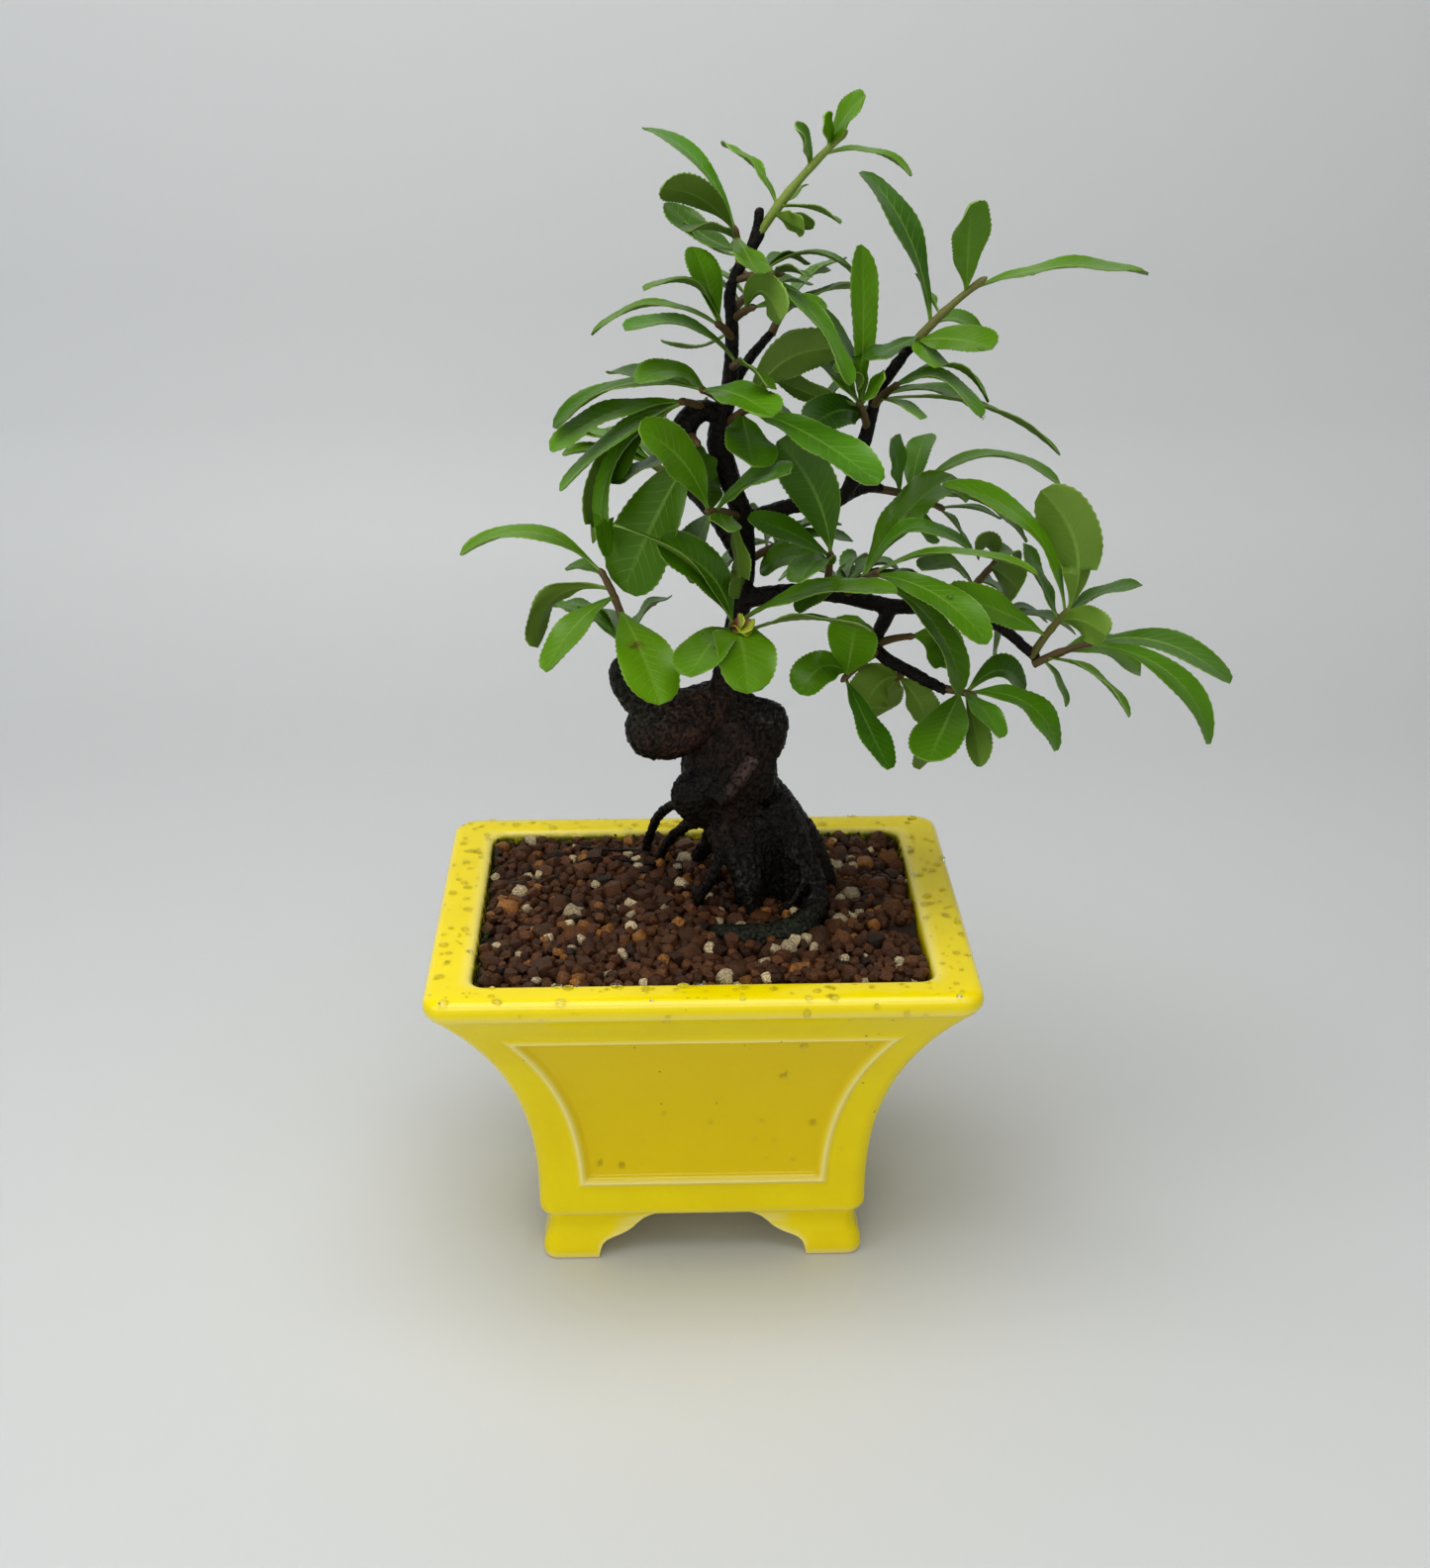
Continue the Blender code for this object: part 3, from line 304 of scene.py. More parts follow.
for z in (80.0, 62.0, 42.0, FLOOR_TOP):
    inner = min(INNER_HALF - 0.15 * (POT_HEIGHT - z), wall_half(z) - WALL)
    rings.append(pot_ring(inner, INNER_SIDE_LESS, INNER_CORNER, z))
pot = loft("glazed_pot", rings, glaze)

# The feet are one low ring under the body, cut away below four bracket curves.
foot_rows = [(0.0, 43.0), (0.25, 43.4), (0.8, 43.6), (2.5, 43.7), (4.0, 43.5), (6.0, 42.9), (8.0, 42.2),
             (10.0, 41.9), (12.0, 41.9), (13.4, 42.1), (FOOT_HEIGHT + 0.8, 42.2)]
feet = loft("feet", [pot_ring(half, SIDE_LESS, 4.0, z) for z, half in foot_rows], glaze)
between = loft("between", [pot_ring(FOOT_INSIDE, SIDE_LESS, 3.0, z) for z in (-1.0, FOOT_HEIGHT)], glaze)
boolean(feet, between, "DIFFERENCE")
BRACKET = [(12.5, 13.7), (14.5, 12.9), (16.2, 11.9), (17.6, 10.6), (18.9, 9.3), (20.5, 8.1), (22.4, 7.2),
           (24.4, 6.5), (26.2, 5.7), (27.4, 4.6), (27.9, 3.3), (28.3, 1.5), (28.6, -1.0)]
for along_x, shorter in ((True, 0.0), (False, 11.5)):
    outline = [(shorter - place, z) for place, z in reversed(BRACKET)]
    outline += [(place - shorter, z) for place, z in BRACKET]
    count = len(outline)
    points = []
    for far in (-60.0, 60.0):
        for place, z in outline:
            points.append(placed(place, far, z) if along_x else placed(far, -place, z))
    faces = [(i, (i + 1) % count, count + (i + 1) % count, count + i) for i in range(count)]
    faces += [tuple(reversed(range(count))), tuple(range(count, 2 * count))]
    arch = new_piece("arch", points, faces, glaze)
    bm = bmesh.new()
    bm.from_mesh(arch.data)
    bmesh.ops.recalc_face_normals(bm, faces=bm.faces)
    bm.to_mesh(arch.data)
    bm.free()
    boolean(feet, arch, "DIFFERENCE")
soft_edges = feet.modifiers.new("soft_edges", "BEVEL")
soft_edges.width = 0.6 * MM
soft_edges.segments = 2
soft_edges.limit_method = "ANGLE"
soft_edges.angle_limit = radians(40)
apply_modifiers(feet)
boolean(pot, feet, "UNION")
for side in (-1, 1):
    bpy.ops.mesh.primitive_cylinder_add(vertices=40, radius=DRAIN_HOLE_RADIUS * MM, depth=16 * MM,
                                        location=placed(side * DRAIN_HOLE_AT, 0, 17))
    boolean(pot, bpy.context.object, "DIFFERENCE")
pot.data.shade_smooth()
pot.data.set_sharp_from_angle(angle=radians(32))


def near(value, spread):
    return exp(-(value / spread) ** 2)


def glaze_marks(point):
    """How pale, how deep in the panel, how bare and how mossy the glaze is at a point of the pot."""
    x = abs(point.x - POT_MIDDLE.x) / MM
    y = abs(point.y - POT_MIDDLE.y) / MM
    z = point.z / MM
    half = wall_half(z)
    along, reach = (x, half) if half - x > half - SIDE_LESS - y else (y, half - SIDE_LESS)
    depth = min(half - x, half - SIDE_LESS - y)
    pale = panel = 0.0
    if PANEL_FROM - 4 < z < PANEL_TO + 4 and depth < 3.0:
        inside = min(reach - along - PANEL_INSET, z - PANEL_FROM, PANEL_TO - z)
        pale = 0.8 * near(inside, 0.8)
        panel = smooth_step((inside - 0.4) / 1.6)
    outer = min(RIM_HALF - x, RIM_HALF - SIDE_LESS - y)
    if z > 88.0:
        pale = max(pale, 0.35 * near(outer - 0.5, 0.8) * near(z - 94.3, 0.8), 0.5 * near(z - 90.2, 0.7))
    if outer > 9.0 and z > 93.0:
        pale = max(pale, 0.6 * near(z - 94.3, 0.6))
    if 13.5 < z < 16.5:
        pale = max(pale, 0.55 * near(z - 14.9, 0.6))
    if z < FOOT_HEIGHT:
        long_side = half - SIDE_LESS - y < half - x
        across = x if long_side else y + 11.5
        bracket = min(Vector((across - place, z - height)).length for place, height in BRACKET)
        pale = max(pale, 0.8 * near(bracket, 0.9), 0.6 * near(z - 1.0, 0.8))
    bare = smooth_step((0.75 - z) / 0.5)
    stain = 0.0
    if outer > 9.5 and z > 80.0:
        behind = smooth_step((point.y - POT_MIDDLE.y) / MM / 30.0)
        at_left = smooth_step((POT_MIDDLE.x - point.x) / MM / 50.0)
        stain = max(behind, at_left) * smooth_step((94.6 - z) / 1.8)
    return pale, panel * 0.8, bare, stain


marks = [glaze_marks(vert.co) for vert in pot.data.vertices]
for number, name in enumerate(("pale", "panel", "bare", "stain")):
    layer = pot.data.attributes.new(name, "FLOAT", "POINT")
    layer.data.foreach_set("value", [mark[number] for mark in marks])
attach(pot, "root")
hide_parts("pot")

# Drain screens
# Two squares of black plastic net over the drain holes, which keep the soil in. They are cut with
# scissors from a roll and lie loose on the pot's floor.
net, tree, shader = new_material("black_net", 0.5)
fine, broad = mottled(tree, 120.0)
tree.links.new(mixed(tree, fine, (0.008, 0.008, 0.008, 1.0), (0.035, 0.033, 0.03, 1.0)),
               shader.inputs["Base Color"])
relief(tree, shader, fine, 0.3, 0.2)
for name in ("drain_screen_left", "drain_screen_right"):
    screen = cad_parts[name]
    screen.data.materials.clear()
    screen.data.materials.append(net)

# Soil
# Wet, coarse bonsai grit: dark reddish-brown fired clay with a few grains of pale pumice and of tan
# lava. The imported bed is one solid, and loose grains lie over it in two or three layers.
SOIL_LEVEL = 91.6
SOIL_MOUND = 2.4
MOUND_AT = (12.0, 8.0)
MOUND_SPREAD = 24.0
GRAIN_TRIES = 20000
GRAIN_SMALL = 1.1
GRAIN_MORE = 2.4
BED_BELOW = 0.5
STACK_SHARE = 0.90
CELL = 7.0
GRAIN_COLOURS = [(0.46, (0.115, 0.047, 0.018)), (0.66, (0.075, 0.033, 0.015)), (0.82, (0.160, 0.065, 0.022)),
                 (0.86, (0.035, 0.020, 0.012)), (0.93, (0.36, 0.16, 0.040)), (1.01, (0.68, 0.55, 0.34))]


def soil_height(x, y):
    spread = ((x - MOUND_AT[0]) ** 2 + (y - MOUND_AT[1]) ** 2) / (2 * MOUND_SPREAD ** 2)
    return SOIL_LEVEL + SOIL_MOUND * exp(-spread)


earth, tree, shader = new_material("packed_bed", 0.9)
fine, broad = mottled(tree, 150.0)
tree.links.new(mixed(tree, fine, (0.012, 0.006, 0.004, 1.0), (0.06, 0.026, 0.016, 1.0)),
               shader.inputs["Base Color"])
relief(tree, shader, fine, 1.0, 1.5)
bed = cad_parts["soil"]
bed.data.materials.clear()
bed.data.materials.append(earth)

grit, tree, shader = new_material("wet_grit", 0.6)
shader.inputs["Specular IOR Level"].default_value = 0.25
fine, broad = mottled(tree, 420.0)
tint = add_node(tree, "ShaderNodeAttribute", attribute_name="tint").outputs["Color"]
pitted = mixed(tree, sums(tree, "MULTIPLY", span(tree, fine, 0.62, 0.40), 0.65), tint, (0.02, 0.01, 0.007, 1.0))
tree.links.new(pitted, shader.inputs["Base Color"])
tree.links.new(sums(tree, "ADD", sums(tree, "MULTIPLY", broad, 0.7), 0.12), shader.inputs["Roughness"])
relief(tree, shader, fine, 0.8, 0.45)

bpy.ops.mesh.primitive_cube_add(size=2.0)
bpy.ops.object.mode_set(mode="EDIT")
bpy.ops.mesh.subdivide(number_cuts=1)
bpy.ops.transform.tosphere(value=0.62)
bpy.ops.object.mode_set(mode="OBJECT")
pebble = bpy.context.object
pebble_points = np.array([vert.co[:] for vert in pebble.data.vertices])
pebble_faces = [tuple(face.vertices) for face in pebble.data.polygons]
bpy.data.objects.remove(pebble, do_unlink=True)

wood_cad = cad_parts["trunk_and_roots"]
wood_skin = BVHTree.FromPolygons([vert.co for vert in wood_cad.data.vertices],
                                 [tuple(face.vertices) for face in wood_cad.data.polygons])


def clear_of_wood(place, room):
    """Whether a place is outside the wood by some room."""
    nearest, normal, _, distance = wood_skin.find_nearest(place)
    return distance > room * MM and (place - nearest).dot(normal) > 0.0


def scattered(name, grains, template, template_faces, finish, lumpy):
    """One piece of many copies of a small shape: grains are (place, radius, scales, turn, colour)."""
    points = []
    faces = []
    tints = []
    for number, (place, radius, scales, turn, colour) in enumerate(grains):
        shape = template * np.array(scales) * radius
        shape = shape * (1.0 + lumpy * (rough_draw.random((len(template), 1)) - 0.5))
        shape = shape @ np.array(turn.to_matrix()).T + np.array(place)
        points.extend(shape.tolist())
        faces.extend(tuple(index + number * len(template) for index in face) for face in template_faces)
        tints.extend([*colour, 1.0] * len(template))
    piece = new_piece(name, [Vector(placed(*point)) for point in points], faces, finish, 55.0)
    layer = piece.data.attributes.new("tint", "FLOAT_COLOR", "POINT")
    layer.data.foreach_set("color", tints)
    return piece


draw = random.Random(5)
rough_draw = np.random.default_rng(5)
grains = []
cells = {}
for _ in range(GRAIN_TRIES):
    radius = GRAIN_SMALL + GRAIN_MORE * draw.random() ** 1.8
    x = draw.uniform(-1, 1) * (INNER_HALF - 0.4 - radius)
    y = draw.uniform(-1, 1) * (INNER_HALF - INNER_SIDE_LESS - 0.4 - radius)
    z = soil_height(x, y) - BED_BELOW + radius * 0.3
    corner = (int(x // CELL), int(y // CELL))
    for i in (-1, 0, 1):
        for j in (-1, 0, 1):
            for other_x, other_y, other_z, other in cells.get((corner[0] + i, corner[1] + j), ()):
                room = (radius + other) * STACK_SHARE
                apart = (x - other_x) ** 2 + (y - other_y) ** 2
                if apart < room * room:
                    z = max(z, other_z + sqrt(room * room - apart))
    front_rise = 1.0 * smooth_step((10.0 - y) / 40.0)
    if z + radius * 0.75 > soil_height(x, y) + 2.3 + front_rise:
        continue
    if not clear_of_wood(placed(x, y, z), radius * 0.75):
        continue
    cells.setdefault(corner, []).append((x, y, z, radius))
    scales = [draw.uniform(0.78, 1.12) for _ in range(3)]
    turn = Euler([draw.uniform(0, 2 * pi) for _ in range(3)])
    pick = draw.random()
    base = next(colour for limit, colour in GRAIN_COLOURS if pick < limit)
    shade = draw.uniform(0.7, 1.35)
    grains.append(((x, y, z), radius, scales, turn, [min(1.0, part * shade) for part in base]))
loose = scattered("loose_grains", grains, pebble_points, pebble_faces, grit, 0.28)
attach(loose, "root")

# Moss
# A film of dark wet moss that has crept over the grit along the left and back edges of the pot.
MOSS_TRIES = 5200
MOSS_SMALL = 0.3
MOSS_MORE = 0.55
MOSS_BAND = 8.0
moss_green, tree, shader = new_material("dark_moss", 0.75)
fine, broad = mottled(tree, 500.0)
tree.links.new(mixed(tree, span(tree, fine, 0.35, 0.7), (0.010, 0.020, 0.006, 1.0), (0.055, 0.085, 0.018, 1.0)),
               shader.inputs["Base Color"])
relief(tree, shader, fine, 1.0, 0.4)

bpy.ops.mesh.primitive_ico_sphere_add(subdivisions=1, radius=1.0)
tuft = bpy.context.object
tuft_points = np.array([vert.co[:] for vert in tuft.data.vertices])
tuft_faces = [tuple(face.vertices) for face in tuft.data.polygons]
bpy.data.objects.remove(tuft, do_unlink=True)

tufts = []
for _ in range(MOSS_TRIES):
    x = draw.uniform(-INNER_HALF + 0.8, INNER_HALF - 0.8)
    y = draw.uniform(-INNER_HALF + INNER_SIDE_LESS + 0.8, INNER_HALF - INNER_SIDE_LESS - 0.8)
    from_edge = min(x + INNER_HALF, (INNER_HALF - INNER_SIDE_LESS - y) * 0.8)
    patchy = noise.noise(Vector((x * 0.11, y * 0.11, 3.0))) * 0.5 + 0.5
    if from_edge > MOSS_BAND * patchy * draw.random() or patchy < 0.3:
        continue
    radius = MOSS_SMALL + MOSS_MORE * draw.random()
    z = soil_height(x, y) + 0.4 + draw.uniform(-0.5, 1.0) + 1.2 * near(from_edge, 1.5)
    turn = Euler([draw.uniform(0, 2 * pi) for _ in range(3)])
    tufts.append(((x, y, z), radius, (1.0, 1.0, 0.8), turn, (0.02, 0.04, 0.01)))
moss = scattered("moss_film", tufts, tuft_points, tuft_faces, moss_green, 0.5)
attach(moss, "root")

# Trunk, branches and roots
# One piece of wood: a knotted trunk on exposed roots, a thin stem and its branches. The bark is wet
# and almost black, red-brown where it is rubbed, grey where it dries, with furrows along the grain.
# A painted highlight greys the faces that turn up, and painted shade blackens the furrows and the
# hollows that more wood shuts in.
SKIN = 0.55
RUN_STEPS = 6
WOOD = {
    "body": [(13, 9, 110, 9), (8, 7, 124, 11), (7, 6, 134, 11.5), (9, 5, 143, 10), (8, 5, 152, 6)],
    "waist": [(14, 6, 124, 7.5), (13, 5, 134, 8), (16, 4, 141, 6)],
    "bulge": [(9, 4, 155, 4), (2, 2, 150, 7), (-6, 0, 146.5, 8.8), (-12, 0, 145, 8.2), (-17, 0, 144.5, 5.6),
              (-19, 0, 144.3, 2.4)],
    "knob": [(-10, 3, 148, 6), (-16, 4, 154, 5.4), (-18.5, 4, 158.5, 4.9), (-20, 4, 162, 3.4),
             (-20.7, 4, 163.5, 1.4)],
    "shoulder": [(6, 4, 147, 5.5), (15, 3, 147.5, 4.8), (19, 3, 145.5, 4.6), (17, 4, 137, 5)],
    "low_bulge": [(4, 1, 130, 6), (-2, 0, 126, 5.8), (2, 3, 119, 4.5)],
    "ridge": [(14, -5, 139, 2), (10, -6, 133, 2.4), (5, -5, 126, 2.2)],
    "stem": [(8, 5, 152, 5), (7.5, 4, 159, 3.7), (9, 5, 167, 3.1), (11, 6, 179, 2.9), (12, 6, 190, 2.8),
             (11, 6, 201, 2.8), (9, 6, 207, 2.7), (7, 6, 214, 2.7), (5, 6, 219, 2.8), (6, 6, 226, 2.6),
             (8, 6, 234, 2.1), (8.5, 6, 249, 1.7), (8, 6, 255, 1.6), (9, 6, 260, 1.5), (12.5, 6, 266, 1.5),
             (15.5, 6, 271, 1.4)],
    "old_stub": [(6, 6, 226, 2.4), (1, 4, 228, 2.8), (-3, 2, 225, 3.2), (-3, 2, 221, 2.8)],
    "cut_stub": [(13, 6, 267, 1.3), (14.5, 6, 272, 1.3), (15, 6, 276.5, 1.2)],
    "upper_branch": [(11, 6, 199, 2.3), (24, 9, 202, 2.1), (37, 13, 203, 2), (42, 12, 217, 1.9),
                     (45, 11, 230, 1.6), (49, 10, 237, 1.5), (54, 9, 244, 1.3)],
    "back_branch": [(37, 13, 203, 1.8), (43, 18, 204, 1.6), (48, 22, 203, 1.4)],
    "long_branch": [(11, 6, 178, 2.6), (21, 5, 180, 2.5), (34, 5, 180, 2.3), (50, 6, 176, 2.1),
                    (65, 6, 176, 1.9), (76, 5, 172, 1.7), (88, 3, 162.5, 1.4)],
    "low_branch": [(50, 6, 176, 1.9), (46, 4, 168, 1.9), (47, 3, 164, 1.8), (55, 0, 160, 1.7),
                   (64, -2, 155.5, 1.5)],
    "left_twig": [(-17, 4, 160, 1.8), (-18, 3, 167, 1.4), (-19, 3, 174, 1.2)],
    "behind_branch": [(10, 7, 190, 1.9), (4, 18, 197, 1.6), (-3, 28, 202, 1.3)],
    "behind_high": [(8, 7, 232, 1.6), (13, 15, 238, 1.4), (19, 23, 243, 1.2)],
    "root_right": [(17, 8, 124, 5.5), (22, 9, 117, 5.5), (27, 9, 110, 5.2), (31, 10, 102, 4.8),
                   (34, 11, 94, 4.2), (35, 12, 86, 3.6)],
    "root_core": [(13, 6, 118, 9), (16, 7, 105, 8.5), (18, 8, 94, 8), (19, 8, 86, 7.5)],
    "root_front_right": [(18, 5, 122, 7), (25, 3, 108, 5.5), (26, 2, 94, 4.6), (26, 2, 86, 4)],
    "root_middle": [(11, 2, 116, 6), (13, -2, 104, 4.6), (14, -2, 93, 3.8), (14, -2, 86, 3)],
    "root_ridge": [(6, -1, 119, 3), (9, -5, 109, 2.3), (13, -7, 99, 2.1), (16, -6, 90, 2)],
    "root_fork": [(3, 1, 119, 2), (5, -4, 110, 1.6), (3, -4, 103, 1.5), (0, -1, 96, 1.5), (-2, 1, 88, 1.4)],
    "root_back": [(12, 12, 114, 6), (15, 22, 105, 3.8), (19, 29, 94, 2.8), (20, 31, 86, 2.4)],
    "root_back_left": [(7, 10, 116, 5), (4, 21, 104, 2.9), (0, 28, 94, 2.1), (-1, 29, 86, 1.8)],
    "root_back_right": [(19, 10, 116, 5), (27, 19, 106, 3), (33, 25, 94, 2.3), (34, 26, 86, 2)],
    "arch_high": [(0, 6, 119, 2.4), (-6, 18, 115.5, 1.6), (-11, 28, 107, 1.4), (-14, 34, 96, 1.3),
                  (-14.5, 35, 88, 1.1)],
    "arch_low": [(1, 7, 116, 2.4), (-3, 16, 110, 1.7), (-7.5, 23.5, 102.5, 1.5), (-10.5, 28, 94, 1.3),
                 (-11, 29, 87, 1.1)],
    "crossing": [(23, -1, 110, 1.4), (28, -5, 106, 1.2), (26, -7, 100, 1.2), (21, -7, 94, 1.2),
                 (20, -7, 88, 1.1)],
    "root_thin": [(28, -3, 106, 1.3), (31, -7, 100, 1.2), (33, -9, 94, 1.2), (33, -10, 87, 1.1)],
    "mossy": [(2, -12, 90, 2.6), (5, -16, 92.5, 3.2), (10, -19, 93.5, 3.8), (17, -19.5, 93.5, 4),
              (24, -17, 94, 4), (29, -11, 95.5, 3.7), (31, -4, 98, 3.5), (29, 2, 103, 4), (26, 4, 107, 4.5)],
}


def smooth_run(points):
    """A run's points with more between them, on a curve through all of them."""
    knots = [np.array(point, dtype=float) for point in points]
    knots = [2 * knots[0] - knots[1], *knots, 2 * knots[-1] - knots[-2]]
    line = []
    for a, b, c, d in zip(knots, knots[1:], knots[2:], knots[3:]):
        for step in range(RUN_STEPS):
            t = step / RUN_STEPS
            line.append(0.5 * (2 * b + (c - a) * t + (2 * a - 5 * b + 4 * c - d) * t * t
                               + (3 * b - a - 3 * c + d) * t ** 3))
    line.append(knots[-2])
    return line


def tube(line, sides, finish, name="tube"):
    """A round closed bar through points of (x, y, z, radius) off the pot's middle, in millimetres."""
    points = []
    faces = []
    side = Vector((0.31, 0.17, 0.94))
    for number, here in enumerate(line):
        before = line[max(0, number - 1)]
        after = line[min(len(line) - 1, number + 1)]
        forward = Vector((after[:3] - before[:3]).tolist()).normalized()
        side = (side - forward * side.dot(forward)).normalized()
        other = forward.cross(side)
        for i in range(sides):
            angle = 2 * pi * i / sides
            point = Vector(here[:3].tolist()) + (side * cos(angle) + other * sin(angle)) * float(here[3])
            points.append(placed(*point))
    for row in range(len(line) - 1):
        for i in range(sides):
            j = (i + 1) % sides
            faces.append((row * sides + i, row * sides + j, (row + 1) * sides + j, (row + 1) * sides + i))
    faces.append(tuple(reversed(range(sides))))
    faces.append(tuple(range((len(line) - 1) * sides, len(line) * sides)))
    return new_piece(name, points, faces, finish, 60.0)


def joined(name, pieces):
    """Several pieces made one object."""
    bpy.ops.object.select_all(action="DESELECT")
    for piece in pieces:
        piece.select_set(True)
    bpy.context.view_layer.objects.active = pieces[0]
    bpy.ops.object.join()
    pieces[0].name = name
    bpy.ops.object.select_all(action="DESELECT")
    return pieces[0]


BARK_BLACK = (0.0020, 0.0016, 0.0013, 1.0)
BARK_BROWN = (0.014, 0.008, 0.005, 1.0)
BARK_RED = (0.075, 0.033, 0.020, 1.0)
BARK_GREY = (0.130, 0.120, 0.110, 1.0)
BARK_GREEN = (0.034, 0.044, 0.018, 1.0)
BARK_PINK = (0.16, 0.10, 0.085, 1.0)
# Where the bark's colour changes: the place, how far the colour reaches and how strong it is
RED_AT = [((1, -4, 150), 9, 1.0), ((-8, -8, 146), 9, 0.8), ((14, -3, 140), 8, 0.5), ((8, -3, 120), 8, 0.3)]
GREEN_AT = [((-19, 0, 158), 6, 0.7), ((-16, -5, 150), 5, 0.6), ((5, -20, 93), 8, 0.8), ((18, -20, 94), 9, 0.9),
            ((26, -17, 94), 7, 0.6)]
PINK_AT = [((14, -7, 139), 2.6, 0.9), ((11, -8, 135), 2.4, 0.8), ((8, -8, 130), 2.2, 0.6)]
GREY_AT = [((-14, -4, 152), 6, 0.6), ((20, -2, 148), 5, 0.6), ((33, 6, 118), 6, 0.6), ((26, -3, 104), 6, 0.4),
           ((13, -8, 104), 5, 0.5)]

bark, tree, shader = new_material("wet_bark", 0.5)
shader.inputs["Specular IOR Level"].default_value = 0.3
fine, broad = mottled(tree, 130.0)
colour = mixed(tree, span(tree, fine, 0.35, 0.68), BARK_BLACK, BARK_BROWN)
red_here = sums(tree, "MULTIPLY", attribute(tree, "red"), span(tree, fine, 0.25, 0.6))
colour = mixed(tree, red_here, colour, BARK_RED)
# Grey flecks, and a painted highlight on faces that turn up
flecks_and_highlight = sums(tree, "MULTIPLY", attribute(tree, "grey"), span(tree, fine, 0.46, 0.66))
colour = mixed(tree, flecks_and_highlight, colour, BARK_GREY)
green_here = sums(tree, "MULTIPLY", attribute(tree, "green"), span(tree, fine, 0.36, 0.62))
colour = mixed(tree, green_here, colour, BARK_GREEN)
colour = mixed(tree, sums(tree, "MULTIPLY", attribute(tree, "pink"), 0.8), colour, BARK_PINK)
# Painted shade: near black in the bark's furrows and in hollows that more wood shuts in
colour = mixed(tree, attribute(tree, "painted_shade"), colour, (0.0022, 0.0018, 0.0014, 1.0))
tree.links.new(colour, shader.inputs["Base Color"])
tree.links.new(sums(tree, "ADD", sums(tree, "MULTIPLY", broad, 0.4), 0.14), shader.inputs["Roughness"])
relief(tree, shader, fine, 1.0, 1.0)

wood = joined("trunk_branches_and_roots", [tube(smooth_run(run), 14, bark) for run in WOOD.values()])
skin = wood.modifiers.new("skin", "REMESH")
skin.mode = "VOXEL"
skin.voxel_size = SKIN * MM
even = wood.modifiers.new("even", "SMOOTH")
even.factor = 0.5
even.iterations = 4
apply_modifiers(wood)


def off_middle(point):
    """A point of the scene as millimetres off the middle of the pot's footprint."""
    return Vector(((point.x - POT_MIDDLE.x) / MM, (point.y - POT_MIDDLE.y) / MM, point.z / MM))


def strength_at(place, spots):
    total = sum(strength * near((place - Vector(spot)).length, reach) for spot, reach, strength in spots)
    return min(1.0, total)


HOLLOW_RAYS = 9
HOLLOW_REACH = 14.0


def hollow(point, normal, solid):
    """The share of the directions off a point of the wood that more wood shuts off within reach."""
    side = normal.orthogonal().normalized()
    other = normal.cross(side)
    shut = 0
    for number in range(HOLLOW_RAYS):
        around = 2 * pi * number / HOLLOW_RAYS
        away = (normal * 0.55 + side * cos(around) + other * sin(around)).normalized()
        if solid.ray_cast(point + normal * 0.4 * MM, away, HOLLOW_REACH * MM)[0]:
            shut += 1
    return shut / HOLLOW_RAYS


wood_shape = bmesh.new()
wood_shape.from_mesh(wood.data)
wood_tree = BVHTree.FromBMesh(wood_shape)
wood_shape.free()
carved = []
layers = {"red": [], "green": [], "pink": [], "grey": [], "painted_shade": []}
for vert in wood.data.vertices:
    place = off_middle(vert.co)
    thick = 1.0 if place.z < 160 else 0.45
    grain = noise.noise(Vector((place.x * 0.55, place.y * 0.55, place.z * 0.16)))
    cracks = abs(noise.noise(Vector((place.x * 0.9 + 7, place.y * 0.9, place.z * 0.35))))
    warts = noise.noise(place * 1.1)
    pits = noise.noise(place * 2.3)
    height = 0.42 * grain - 0.6 * near(cracks, 0.08) + 0.26 * warts + 0.2 * pits
    carved.append(vert.co + vert.normal * (height * thick * MM))
    upward = max(0.0, vert.normal.z)
    patch = 0.5 + 0.5 * noise.noise(place * 0.25)
    layers["red"].append(strength_at(place, RED_AT) * patch * 1.4)
    layers["green"].append(strength_at(place, GREEN_AT) * (0.4 + patch))
    layers["pink"].append(strength_at(place, PINK_AT))
    # Grey at the spots given, and a painted highlight that greys the faces turning up
    layers["grey"].append(min(1.0, strength_at(place, GREY_AT) + 0.5 * upward * patch))
    # Painted shade: the more wood shuts a point in, and the deeper its furrow, the darker its colour
    shut = hollow(vert.co, vert.normal, wood_tree)
    layers["painted_shade"].append(min(1.0, near(cracks, 0.09) * thick + smooth_step((shut - 0.2) / 0.7)))
for vert, place in zip(wood.data.vertices, carved):
    vert.co = place
for name, values in layers.items():
    layer = wood.data.attributes.new(name, "FLOAT", "POINT")
    layer.data.foreach_set("value", values)
wood.data.shade_smooth()
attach(wood, "root")
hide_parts("trunk_and_roots")

# Thin roots that lie on the grit behind the trunk, to its left
SURFACE_ROOTS = [[(-8, 26, 94.3, 0.5), (-14, 24, 94.6, 0.45), (-21, 27, 94.3, 0.4), (-29, 29, 94.4, 0.35),
                  (-34, 27, 93.6, 0.3)],
                 [(-12, 30, 94.6, 0.45), (-18, 33, 94.5, 0.4), (-25, 33, 94.8, 0.35), (-33, 36, 94.2, 0.3)],
                 [(-4, 20, 94.8, 0.5), (-10, 17, 94.9, 0.4), (-15, 19, 94.4, 0.35), (-20, 17, 93.8, 0.3)]]
threads = [tube(smooth_run(run), 8, bark) for run in SURFACE_ROOTS]
surface_roots = joined("surface_roots", threads)
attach(surface_roots, "root")

